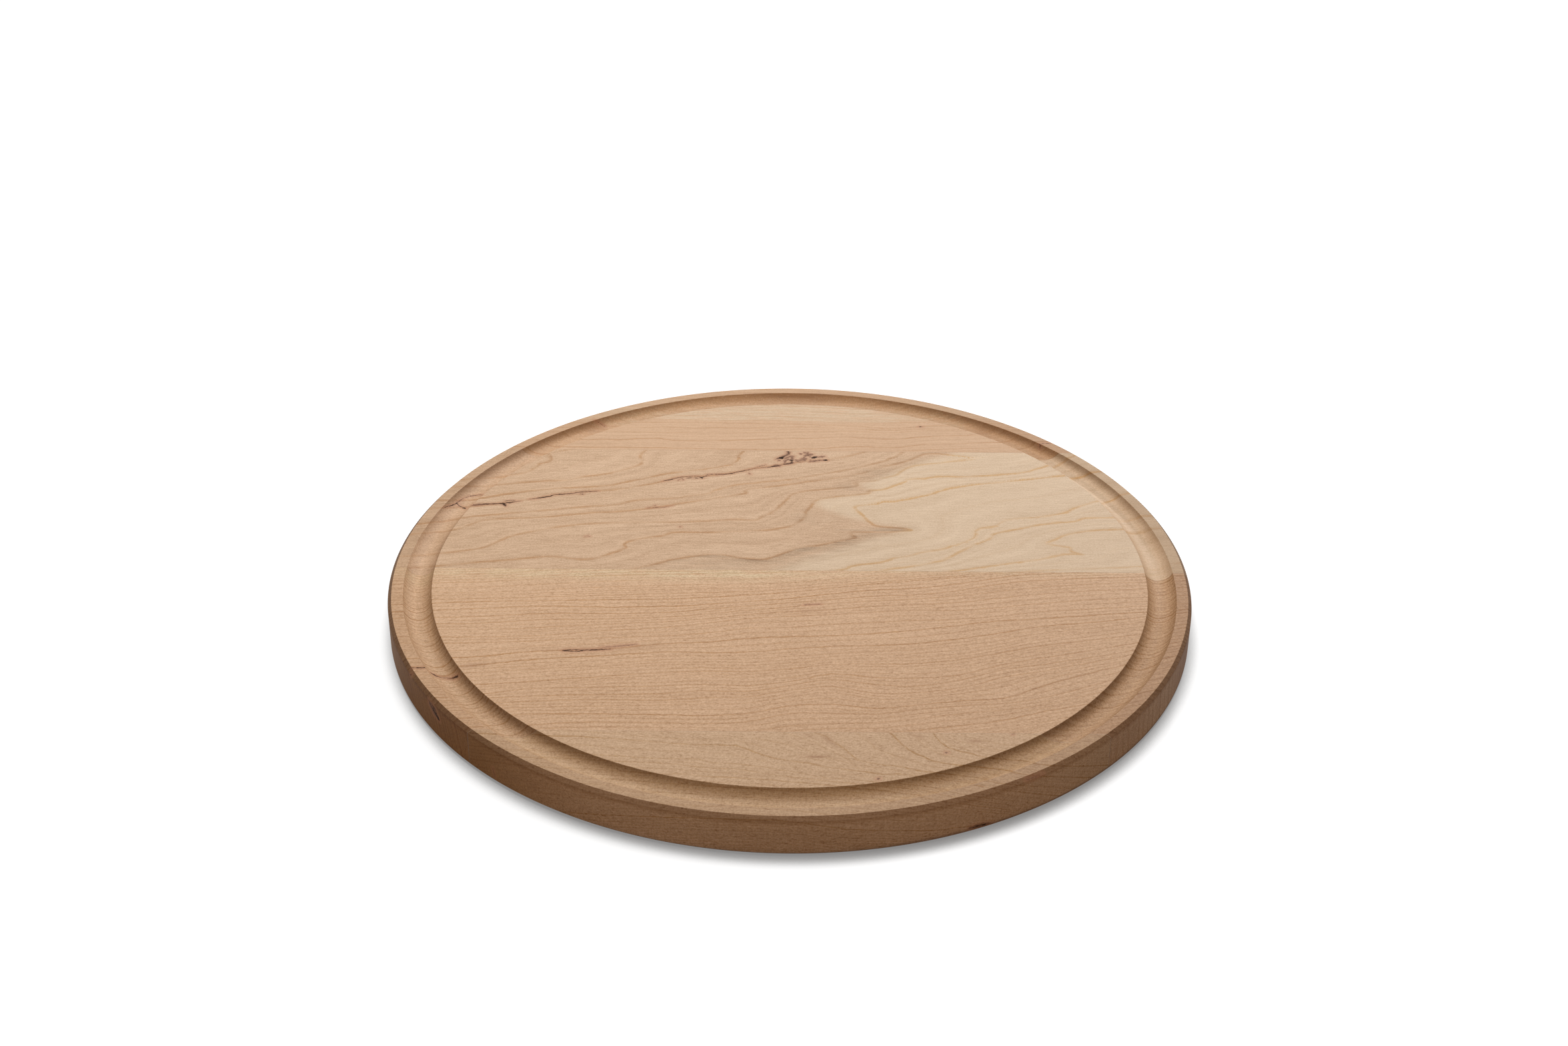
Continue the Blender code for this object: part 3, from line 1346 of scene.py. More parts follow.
BACK_FIGURE = Figure(
    lines=(
        ring(0.5, (-175, 173), (-120, 175), (-60, 177), (-20, 177.5), (0, 176.6), (30, 174), (60, 172),
             (175, 168)),
        ring(0.6, (-175, 169), (-82, 171.5), (-60, 171.2), (-45, 172), (-30, 171), (-13, 171), (15, 169.7),
             (30, 168.1), (48, 167.5), (175, 164)),
        ring(0.25, (-175, 164), (-60, 167.3), (-30, 167.6), (-2, 166.4), (20, 165.9), (37, 164.8),
             (53, 163.7), (175, 161)),
        ring(0.45, (-175, 159.5), (-120, 161.5), (-71, 163.8), (-42, 164.5), (-24, 164), (-8, 164),
             (6.7, 163.1), (20, 162.2), (36.7, 161.1), (53, 160.7), (70, 160), (175, 159)),
        ring(0.6, (-175, 157), (-110, 158), (-83, 159.3), (-69, 159.7), (-51, 158.8), (-42, 158.2),
             (-13, 159.2), (3, 158.1), (20, 157.6), (42, 157), (59, 157.3), (74, 158.4), (100, 158),
             (175, 156)),
        ring(0.65, (-175, 153), (-60, 156), (-30, 155.5), (0, 154.8), (20, 154), (37, 153), (48, 151),
             (59, 150.5), (66, 151.5), (73, 153.2), (81, 154), (90, 154.2), (175, 152)),
        ring(0.6, (-175, 149), (-96, 149.3), (-69, 150.2), (-55, 148.8), (-42, 150.2), (-28, 149.7),
             (-8, 150.7), (7, 151.4), (20, 150.9), (31, 150.4), (41, 149.4), (50, 148.6), (60, 148.6),
             (75, 150), (175, 149)),
        ring(0.45, (-175, 144), (-96, 144.3), (-64, 143.8), (-33, 144), (-13, 144.8), (3, 145.3), (20, 146.4),
             (31, 147.2), (42, 146.4), (53, 145.3), (64, 146.7), (75, 148.1), (92, 148.7), (175, 147)),
        ring(0.9, (-175, 132), (-145, 134), (-120, 134.4), (-105, 135.6), (-96, 135), (-81, 136.7),
             (-74, 137.3), (-69, 136), (-60, 134.5), (-42, 134.7), (-24, 135.8), (-5, 137.8), (10, 138.1),
             (25, 139.6), (32, 139.8), (48, 138.4), (57, 138.1), (64, 138.7), (70, 140.3), (78, 141.4),
             (95, 142.9), (106, 143.7), (175, 146)),
        ring(1.0, (-175, 126), (-100, 126.5), (-60, 126), (-16, 125), (-2, 125.6), (18, 126.7), (25, 128.1),
             (32, 129), (39, 129.2), (53, 128.1), (61, 128.7), (68, 130.9), (75, 132.6), (92, 133.3),
             (103, 134.4), (118, 135.3), (175, 138)),
        ring(0.7, (-175, 117), (0, 120), (40, 123), (61, 124.8), (70, 125.3), (81, 126.7), (101, 128.1),
             (122, 129.2), (175, 131)),
    ),
    outer_gap=3.8,
)

BACK_GUM = (
    black((72.2, 152.6, 0.22), (73.0, 152.8, 0.42), (73.9, 152.8, 0.22)),
    Scar(((-110.6, 158.4, 20.5, 0.05), (-107.4, 158.1, 18.3, 0.12), (-104.6, 157.4, 16.8, 0.02))),
    Scar(((138.2, 134.0, 20.4, 0.2), (140.5, 134.5, 20.5, 0.2), (144.0, 134.8, 20.5, 0.12))),
    Scar(((138.5, 133.3, 19.8, 0.5), (138.3, 132.4, 18.4, 0.15)), Gum.BROWN),
)

BACK_STAINS_AND_LIP_SHADE = (
    # painted shadow: a dark line under the outer lip at the back, then orange-brown stain with painted shade
    # on the wall below it
    Patch(0, 191.3, 30, 1.0, 0.55),
    Patch(0, 189.3, 26, 2.2, 0.30),
    Patch(15, 189.6, 13, 2.0, 0.35),
    Patch(-110, 153.5, 6, 3.5, 0.25, 35),
    Patch(108, 154, 5, 3, 0.3, -35),
    Patch(70, 152.3, 9, 0.8, 0.16, 3),
)

BACK_PALE_BAND = (Patch(-6, 167, 98, 13, 1.25, edge=BACK_FIGURE.lines[4].flipped()),)

STREAKED_FIGURE = Figure(
    lines=(
        ring(0.9, (-178, 88.5), (-153, 94), (-142, 98), (-138, 103), (-136, 107), (-131, 110), (-131, 116),
             (-133, 118), (-128, 121), (-120, 124)),
        ring(0.95, (-180, 81), (-157, 84), (-138, 87.5), (-120, 89.5), (-112, 93), (-97, 97.5), (-84, 105),
             (-80.5, 110), (-82, 117), (-79, 124)),
        ring(1.15, (-186, 66.5), (-174, 67.5), (-162, 70), (-148, 75), (-130, 79.5), (-110, 82), (-96, 84),
             (-90, 87), (-80, 91), (-64, 98), (-47, 102), (-38, 105), (-31, 108.5), (-28, 113), (-28, 117),
             (-25, 124)),
        ring(0.95, (-190, 58), (-167, 61.5), (-152, 64.5), (-136, 69.5), (-124, 74), (-109, 77), (-90, 80.5),
             (-80, 84), (-70, 88), (-60, 93.5), (-47, 95), (-31, 99), (-18, 104.5), (-4, 108), (10, 113),
             (20, 114), (34, 119), (44, 126)),
        ring(1.0, (-195, 41.5), (-180, 46), (-171, 49), (-150, 53.5), (-130, 57), (-110, 61), (-92, 63.5),
             (-85, 67), (-78, 69), (-60, 71), (-52, 74), (-44, 75.5), (-40, 79.5), (-30, 85), (-18, 88),
             (0, 91.8), (10, 95.2), (20, 98.8), (34, 104), (44, 109), (52, 113.2), (54, 115.5),
             (57.5, 117.6), (60, 121), (65, 127)),
        ring(0.95, (-195, 32), (-174, 37), (-165, 43), (-160, 47), (-145, 49), (-125, 51), (-105, 55),
             (-88, 57), (-70, 61.5), (-57, 66), (-43, 70.5), (-30, 74.5), (-23, 77), (-24.5, 79.5),
             (-20, 82), (-10, 84.2), (0, 86.8), (12, 90.5), (22, 93.4), (34, 97), (42, 101.2), (50, 106.5),
             (62, 112), (70, 118.4), (74, 121.2), (80, 122), (84, 121)),
        ring(0.85, (-197, 10), (-178, 13.5), (-165, 16.5), (-155, 20.5), (-145, 30), (-135, 35), (-115, 42),
             (-95, 45), (-60, 46.2), (-36, 48.5), (-27, 49.6), (-18, 49), (-14, 53), (-9.5, 56.5), (-6, 62),
             (-2, 70), (2, 77), (10, 80), (20, 82), (33, 84.4), (36.3, 86.6), (34.4, 88.6), (37, 90.3),
             (45.6, 91.5), (50, 94.2), (57, 97.3), (62, 104), (68, 108.2), (78, 110.6), (90, 113.5),
             (98, 115.5), (107, 119.5), (123, 122.6), (135, 126)),
        ring(1.05, (-196, -1), (-178, 1.5), (-160, 5), (-140, 8), (-122, 11.5), (-108, 9), (-100, 9.5),
             (-92, 14), (-84, 20), (-84.5, 24), (-80, 28), (-65, 33), (-60, 36), (-42, 36.2), (-20, 38.2),
             (-10, 39.3), (0, 43), (5, 48), (8.4, 54), (8.4, 58), (11, 63), (12.6, 68), (16, 71.2),
             (24, 73.8), (40, 77), (42.5, 78.6), (42, 80.4), (50, 82), (57, 86.8), (61.5, 90), (63, 93),
             (68, 93.8), (73, 94), (80, 96.4), (96, 96.4), (112, 98.6), (129, 102.4), (150, 116),
             (165, 128)),
        ring(1.2, (-120, -6), (-78, 0.5), (-60, 9), (-45, 13.5), (-34, 13.8), (-24, 11), (-14, 9.8),
             (-8, 12.6), (-2, 16.8), (4, 21), (10, 22.8), (18, 25.2), (26, 28.6), (32, 31), (34.2, 33),
             (31.4, 35.4), (33, 37.4), (45.6, 37.8), (59, 38.8), (63, 40), (59, 41.6), (50, 43), (45, 44),
             (41.5, 48), (37, 57), (34.6, 62), (36, 65), (45.6, 66.6), (49.5, 69), (57, 70), (73, 76.4),
             (84, 83), (101, 88.6), (118, 92), (149, 98.8), (180, 106)),
        ring(1.0, (5, -6), (26.5, 0.6), (31, 4.2), (40, 6.5), (48, 8.6), (54, 12.8), (60, 14.2), (68, 18.4),
             (78, 21.2), (83, 24.2), (90, 28), (95.5, 33), (96.5, 39), (99, 42), (108, 45), (113, 51),
             (130, 54), (145, 59), (149, 63), (163, 71.5), (185, 82)),
        ring(1.0, (30, -6), (50, 1.5), (62, 4.6), (72, 8), (80, 12), (86, 18), (95, 26), (103, 32), (106, 37),
             (116, 41), (132, 47), (148, 50), (155, 53.5), (170, 54.5), (195, 57)),
        ring(1.0, (60, -5), (88, 1.4), (108, 7), (126, 12), (140, 17), (149, 17), (144, 20), (143, 24),
             (132, 27.5), (136, 31), (144, 37), (158, 41), (173, 42.5), (195, 44)),
        ring(0.6, (110, -1), (138, 2.5), (160, 4), (178, 6), (195, 9)),
    ),
    outer_gap=5.0,
    lean_left=1.66,
    lean_right=0.6,
)

STREAK_IN_GROOVE = (
    black((-181.5, 60, 0.2), (-179.5, 61.5, 0.32), (-178, 62.7, 0.36), (-177, 64, 0.32), (-176, 66, 0.18),
          (-174.5, 68.5, 0.14), (-173, 70.5, 0.14), (-171, 72, 0.14), (-168, 73.2, 0.16),
          (-165.5, 73.8, 0.24), (-163.7, 73.4, 0.12)),
    black((-176.5, 64.2, 0.2), (-176, 63, 0.36), (-175.4, 61.9, 0.2), (-174.5, 61.2, 0.26),
          (-173.5, 60.5, 0.1)),
    black((-172.9, 59.8, 0.52), (-171.7, 59.3, 0.48)),
)

STREAK_AT_LEFT = (
    brown((-168, 62.3, 0.5), (-166, 62.3, 1.0), (-163, 62.9, 0.8), (-160, 63.4, 0.5), (-156, 63.7, 0.4)),
    black((-164, 63.2, 0.2), (-160, 63.5, 0.34), (-156.5, 63.7, 0.29), (-153, 64.2, 0.39), (-150, 64.8, 0.49),
          (-147.5, 65.3, 0.64), (-145, 66.3, 0.29), (-142.5, 67, 0.12)),
    brown((-152.3, 63.8, 0.5), (-150.3, 62.9, 0.9), (-149.6, 61.6, 0.5)),
    black((-151, 63.6, 0.49), (-150.2, 62.6, 0.68), (-149.7, 61.5, 0.34)),
    black((-150.5, 66.7, 0.2), (-148, 67.5, 0.26), (-145, 67.6, 0.14)),
    black((-138, 69, 0.05), (-136, 69.2, 0.25), (-133.5, 70, 0.42), (-131, 71, 0.68), (-129, 71.5, 0.59),
          (-127, 72.2, 0.44), (-126.3, 73.3, 0.25), (-125, 74, 0.29), (-121, 74.4, 0.38), (-117, 75, 0.42),
          (-113, 76.4, 0.29), (-110, 77.1, 0.26), (-106, 77.6, 0.12), (-102, 78, 0.01)),
    black((-111.5, 75.2, 0.29), (-110.1, 74.6, 0.29)),
    black((-75, 60.9, 0), (-70, 61.4, 0.1), (-66, 61.6, 0.12), (-62, 63.2, 0.05)),
    brown((-71, 63.2, 0.2)),
    brown((-57, 41.5, 0.2)),
    brown((-105.5, 31.3, 0.0), (-104.2, 31.8, 0.05), (-103.0, 31.2, 0.0)),
)

STREAK_IN_MIDDLE = (
    black((-68, 89.3, 0.07), (-66.5, 90, 0.27), (-65, 90.5, 0.41), (-63.5, 91.3, 0.44), (-62, 92, 0.37),
          (-60.5, 93, 0.31), (-58.5, 93.7, 0.26), (-56, 94.2, 0.17), (-54, 94.6, 0.26), (-52.8, 94.9, 0.14)),
    brown((-60, 90.2, 0.11), (-59, 92, 0.14), (-58, 92.5, 0.14), (-57.4, 90.6, 0.11)),
    black((-56, 92.5, 0.05), (-54, 93, 0.2), (-51.5, 93.3, 0.29), (-50, 92.6, 0.24), (-49, 92.8, 0.1)),
    black((-51.5, 94.8, 0.2), (-50, 94.8, 0.29), (-49, 94.3, 0.37), (-48, 93.7, 0.58), (-47.5, 93.4, 0.71),
          (-47.2, 92.6, 0.24)),
    black((-47.2, 93.8, 0.54), (-46.2, 94.4, 0.31), (-45, 95.2, 0.19), (-43.8, 95.8, 0.1)),
    black((-45, 96.8, 0.04), (-43.5, 97, 0.22), (-42, 97.1, 0.2), (-40, 97.2, 0.15), (-38, 97.4, 0.18),
          (-36, 97.2, 0.31), (-34, 97.5, 0.33), (-32, 98, 0.44), (-30.5, 98.6, 0.37), (-29, 99.5, 0.26),
          (-27.5, 100.3, 0.29), (-25.5, 100.8, 0.33), (-24, 101.6, 0.34), (-22.5, 102.2, 0.31),
          (-21, 103, 0.22), (-19.5, 103.8, 0.14), (-18, 104.3, 0.2), (-16, 104.7, 0.26), (-13, 105, 0.29),
          (-10.5, 105.6, 0.31), (-9, 106.2, 0.41), (-7.5, 106.8, 0.37), (-6, 107.6, 0.27),
          (-4.5, 108.4, 0.24), (-2.5, 108.8, 0.2), (-0.8, 109.5, 0.31)),
    brown((-40, 96.2, 0.23), (-38, 96.6, 0.29), (-36, 96.9, 0.34)),
    brown((-9.6, 106.4, 0.69), (-7.8, 107, 1.26), (-6.2, 106.9, 1.15), (-5.4, 107.6, 0.34)),
    black((-18, 105.6, 0.1), (-16.5, 106.3, 0.18), (-14.8, 107, 0.19), (-13.8, 107.6, 0.05)),
    black((-13.2, 108.4, 0.15)),
    brown((-22.2, 98.3, 0.34), (-21.6, 97.9, 0.34)),
)

KNOT_CLUSTER = (
    black((-2.0, 123.7, 0.17), (-1.0, 123.1, 0.28), (-0.7, 121.8, 0.27), (-0.6, 120.5, 0.32),
          (-1.2, 119.5, 0.17), (-2.2, 118.7, 0.32), (-3.2, 117.8, 0.21), (-4.3, 116.6, 0.74),
          (-4.8, 115.8, 1.28), (-6.2, 115.1, 0.28), (-7.3, 114.5, 0.32), (-8.1, 113.9, 0.14)),
    brown((-1.2, 123, 0.87), (-0.7, 121, 0.87), (-2.4, 118.6, 0.87), (-4.2, 116.8, 1.17),
          (-6.8, 114.9, 0.87)),
    brown((-6.1, 112.9, 0.8)),
    brown((2.1, 117.7, 0.34), (0.4, 117.7, 0.64), (-0.7, 117, 0.72), (-2.1, 115.7, 0.72),
          (-2.9, 114.9, 0.49)),
    brown((1.1, 116.6, 0.72), (1.1, 114.9, 0.87), (0.8, 113.6, 0.87)),
    black((0.1, 113.1, 0.81), (0.7, 112.8, 1.01), (1.2, 113.4, 0.28)),
    brown((-0.95, 114.3, 0.57), (-2.1, 113.2, 0.64), (-2.9, 112.1, 0.8), (-2.7, 111, 0.49),
          (-3.2, 109.6, 0.34)),
    black((0.7, 110.3, 0.88), (-0.2, 109.8, 0.32), (-1.2, 109.3, 0.24)),
    brown((1.2, 110.4, 0.87), (-0.9, 109.5, 1.02), (-2.9, 108.9, 0.57)),
    brown((3.2, 113.4, 0.64), (4.3, 113.1, 0.72), (5.4, 113.4, 0.72), (6.6, 113.8, 0.87), (7.9, 114.2, 1.02),
          (8.4, 115, 0.87), (7.3, 115.6, 0.57)),
    brown((6, 114.9, 0.42), (7.3, 115.8, 0.42), (7.9, 117, 0.45), (8.3, 118.2, 0.57)),
    brown((8.6, 118.7, 0.87), (9.6, 119.1, 1.25), (10.9, 119.6, 1.17), (12.1, 119.8, 0.57)),
    black((9.2, 119.1, 0.17), (10.3, 119.2, 0.24), (11, 119.6, 0.14)),
    brown((9.9, 122.4, 0.49), (9.5, 121.3, 0.49), (9.7, 120.3, 0.57)),
    brown((8.1, 121.8, 0.8), (8.9, 121.4, 0.64)),
    brown((5.5, 120.9, 0.42), (6.1, 120.3, 0.57)),
    black((2.7, 111.5, 0.1), (3.8, 111.9, 0.15), (5.2, 111.4, 0.17), (6.6, 111.8, 0.18), (7.4, 112.25, 0.17),
          (8.5, 112.8, 0.13)),
    black((12.2, 115.9, 0.74), (13.2, 116.6, 1.08), (14.1, 117, 0.84)),
    brown((11, 117.1, 0.57)),
    brown((15, 117.1, 0.57), (16, 117, 0.57), (17.3, 117.5, 0.95), (18.8, 117.7, 0.42)),
    black((18.6, 113.6, 0.68), (19.3, 113.6, 0.94), (19.9, 113.5, 0.74)),
    brown((17.8, 113.6, 0.57), (16.5, 113.5, 0.57), (14.9, 112.9, 0.57), (13.2, 112.5, 0.6),
          (11.1, 112.1, 0.72)),
    black((16.2, 113.1, 0.07), (14.6, 112.7, 0.11), (12.9, 112.4, 0.11), (11.1, 112.1, 0.15)),
    brown((11.2, 113.6, 0.42)),
)

STREAKED_SAP_EDGE = ring(
    1.0, (-25, -8), (-10, 0), (5, 10), (20, 19), (40, 31), (60, 41), (45, 46), (28, 54), (17, 62), (15, 70),
    (30, 75), (43, 79), (38, 87), (44, 92), (52, 99), (62, 107), (72, 114), (84, 120), (98, 130),
)

STREAKED_SMOKE = (
    Patch(-42, 5, 38, 10, 0.48, 0, edge=STREAKED_FIGURE.lines[8]),
    Patch(-2, 12, 30, 10, 0.50, 18, edge=STREAKED_FIGURE.lines[8]),
    Patch(26, 25, 24, 8, 0.60, 24, edge=STREAKED_FIGURE.lines[8]),
    Patch(-48, 12.5, 26, 3.0, 0.65, 4, edge=STREAKED_FIGURE.lines[8], edge_fade=0.7),
    Patch(-15, 9, 20, 3.0, 0.70, -2, edge=STREAKED_FIGURE.lines[8], edge_fade=0.7),
    Patch(8, 20.5, 17, 3.6, 0.95, 27, edge=STREAKED_FIGURE.lines[8], edge_fade=0.7),
    Patch(28, 29, 12, 3.4, 0.95, 22, edge=STREAKED_FIGURE.lines[8], edge_fade=0.7),
    Patch(39, 33.5, 10, 3.5, 0.75, 10),
    Patch(50, 40.2, 14, 2.0, 0.95, 4),
    Patch(33, 39.8, 10, 1.0, 0.55, 0),
    Patch(8, 52, 9, 9, 0.25, 60),
    Patch(22, 52, 12, 8, 0.22, 0, edge=STREAKED_FIGURE.lines[7]),
    Patch(34, 84, 11, 7, 0.42, 10),
    Patch(46, 99, 13, 6, 0.50, 25),
    Patch(68, 115, 14, 6, 0.30, 25),
    Patch(54, 31, 12, 5, 0.20, 12),
)

STRAIGHT_FIGURE = Figure(
    lines=(
        along_stations(0.55, -14.3, -12.8, -9.2, -6.2, -4.5, -3.7, -2.8, -1.8, 1, 3, 5, 7, 9, 10, 12, 13),
        along_stations(0.45, -23.4, -22.8, -20, -17, -15, -14.3, -13.9, -11.8, -8.5, -5, -2, 1, 4, 5.5, 7, 8),
        along_stations(0.4, -26, -25.2, -23, -20.5, -19, -18, -17, -15, -12, -8.5, -5.5, -2.5, 0.5, 3, 4.5,
                       5.5),
        along_stations(0.6, -29.5, -28.3, -26.5, -24.5, -22.4, -21.5, -20, -17.8, -14.3, -10.8, -8, -5,
                       -1.2, 1.5, 2.6, 3.2),
        along_stations(0.85, -32.9, -31, -29.8, -28.6, -27.5, -25.6, -23.2, -20.2, -16.5, -12.6, -9.3, -6.2,
                       -2.5, 0.3, 1.3, 1.8),
        along_stations(0.95, -39.5, -37.2, -34.8, -35.3, -34.2, -32.2, -29.4, -26.3, -21.8, -18.2, -16.5,
                       -12.5, -7, -1.9, -0.2, 0.6),
        along_stations(0.75, -45.8, -44.6, -41.5, -41.2, -39.8, -36.4, -33.2, -30.4, -27.2, -23.9, -22.2,
                       -18.8, -12.9, -8.4, -5.4, -3.9),
        along_stations(0.65, -51.5, -50.6, -47, -45.8, -43.7, -40.8, -37, -33.9, -30.4, -28.2, -26.1, -23,
                       -19.3, -14.8, -10.9, -8.9),
        along_stations(0.6, -56, -56, -53.7, -50.5, -48, -45, -41, -38.2, -36.2, -32.8, -31, -29.2, -25.4,
                       -21.2, -17, -15),
        along_stations(0.65, -62.8, -62.4, -60.8, -56.3, -52.8, -48.8, -44.3, -42.3, -40.5, -38, -36, -36,
                       -33.5, -29.8, -25.2, -22.6),
        along_stations(0.6, -67.8, -67.5, -65.3, -62.3, -60.4, -57.6, -53.1, -52.1, -49.2, -47.4, -45.1,
                       -44.1, -41.5, -37, -33.3, -30.6),
        along_stations(1.15, -81, -79.6, -74.1, -72.5, -67, -65.5, -61.8, -60.1, -59, -56.9, -53.8, -49.5,
                       -45.2, -43, -39, -36),
        along_stations(1.0, -88, -86.8, -81, -77.8, -74, -74.4, -73.5, -70.7, -68.2, -67.2, -65.3, -61.3,
                       -56, -50, -45.2, -40),
        along_stations(0.4, -92, -89.5, -86.8, -84.6, -80.5, -80, -79.5, -77, -74.5, -72.5, -70.5, -67,
                       -62.5, -56, -50, -44.5),
        along_stations(0.4, -98, -95.9, -91.7, -88.7, -85, -84.4, -84.8, -82.6, -79.6, -78.1, -77.1, -74, -68,
                       -60.5, -53.5, -47.5),
        along_stations(0.7, -106, -103, -99.3, -95.1, -91.4, -89.9, -89.8, -87.3, -83.7, -82.8, -82.2, -78.5,
                       -72.8, -66.3, -60.2, -54),
        along_stations(0.3, -109, -107, -103, -99, -96.2, -94.2, -94.5, -91, -87, -87.3, -86.6, -84, -77.5,
                       -70.5, -64.5, -57.5),
        along_stations(0.7, -114, -111.5, -105, -103.4, -102, -100.6, -101.5, -98, -91.3, -93.9, -94.3, -91.2,
                       -82.7, -76.6, -68, -60.5),
        along_stations(0.65, -117, -114.5, -111.2, -109.5, -108.4, -105.8, -106, -101, -96, -99.8, -100.5,
                       -95.2, -87, -82, -74, -66),
        along_stations(0.6, -121, -118, -115.3, -113.2, -113.8, -111.4, -110.6, -104.7, -101.5, -107, -105.8,
                       -101.8, -93, -87.4, -77.6, -69),
        along_stations(0.4, -125, -122.5, -120, -118.6, -117.3, -116.3, -115.4, -110.2, -106.4, -111.5,
                       -110.3, -106.4, -100.3, -90.4, -81, -73),
        along_stations(0.85, -131, -129, -125.2, -124.7, -124.9, -125.3, -123.6, -117.3, -115.8, -118.8,
                       -115.6, -112, -109.6, -98.6, -85.2, -77),
        along_stations(0.6, -137, -136, -133.8, -131, -131.2, -131.3, -130, -123.2, -122.9, -123, -119, -116,
                       -113.7, -108.4, -95, -85),
        along_stations(0.5, -143, -142, -140, -138.5, -138, -138, -137.5, -133, -130.7, -129.9, -126, -122,
                       -118.8, -114.2, -102, -92),
        along_stations(0.75, -150, -149, -147, -145.5, -144.5, -144, -143, -140, -138.5, -137.8, -135, -131.3,
                       -126.5, -119, -110, -100),
    ),
    outer_gap=5.0,
    lean_left=-0.3,
    lean_right=0.1,
)

STRAIGHT_GUM = (
    black((-107.6, -73.5, 0.28), (-105.5, -73.1, 0.32), (-102, -72.6, 0.32), (-99.8, -72.9, 0.32),
          (-97, -73, 0.37), (-94, -72.8, 0.46), (-91, -72.5, 0.46), (-88, -72.2, 0.32), (-85, -72, 0.09)),
    black((-107, -73.8, 0.28), (-104, -74.05, 0.25), (-100, -74, 0.25), (-98, -73.4, 0.28)),
    brown((-89, -70.4, 0.05), (-84, -69.8, 0.25), (-81, -69.3, 0.35), (-77, -68.6, 0.25), (-73, -67.8, 0.1)),
    Scar(((-177, -88.9, 20.5, 0.15), (-174, -88.8, 20.5, 0.38), (-171.2, -88.6, 20.5, 0.42))),
    Scar(((-168.6, -88.9, 17.8, 0.45), (-167.2, -89.2, 17.1, 0.8), (-165.5, -90.0, 16.5, 0.55),
          (-162.7, -90.2, 15.9, 0.25), (-159.8, -91.0, 16.1, 0.25), (-157.5, -91.3, 16.7, 0.75),
          (-155.6, -91.7, 17.7, 0.75)), Gum.BROWN),
    Scar(((-168.4, -88.9, 17.7, 0.2), (-166.8, -89.4, 16.9, 0.5), (-165.2, -90.0, 16.4, 0.25))),
    Scar(((-157.8, -91.3, 16.6, 0.3), (-155.8, -91.6, 17.6, 0.55))),
    Scar(((-177.2, -92.4, 18.9, 0.7),), Gum.BROWN),
    Scar(((-177.2, -92.4, 18.9, 0.3),)),
    Scar(((-166.3, -111.1, 17.6, 0.25), (-165.0, -113.0, 15.9, 0.5), (-163.3, -115.4, 14.3, 0.7),
          (-161.6, -117.9, 12.8, 0.9), (-160.8, -119.0, 12.2, 0.5))),
    Scar(((-164.6, -113.5, 17.4, 0.2), (-163.2, -115.6, 16.2, 0.5), (-162.2, -117.1, 14.6, 0.3))),
    Scar(((-165.6, -112.2, 16.0, 1.6), (-163.4, -115.3, 14.8, 2.6), (-161.6, -117.9, 13.0, 1.2)), Gum.BROWN),
    brown((7.3, -32, 0.1), (15, -31.1, 0.15)),
)

STRAIGHT_STAINS = (
    Patch(-93, -72.2, 16, 1.6, 0.5, 3),
    Patch(-68, -69, 10, 1.2, 0.4, 10),
    Patch(-149, -86.5, 8, 1.6, 0.5, 8),
    Patch(10, -37.3, 8, 1.0, 0.4, 5),
)

STRAIGHT_PALE_EDGE = (
    Patch(-120, -3.5, 90, 6, 0.8),
    Patch(-40, -3.5, 70, 6.5, 0.95),
    Patch(60, 0, 120, 4, 0.5),
)

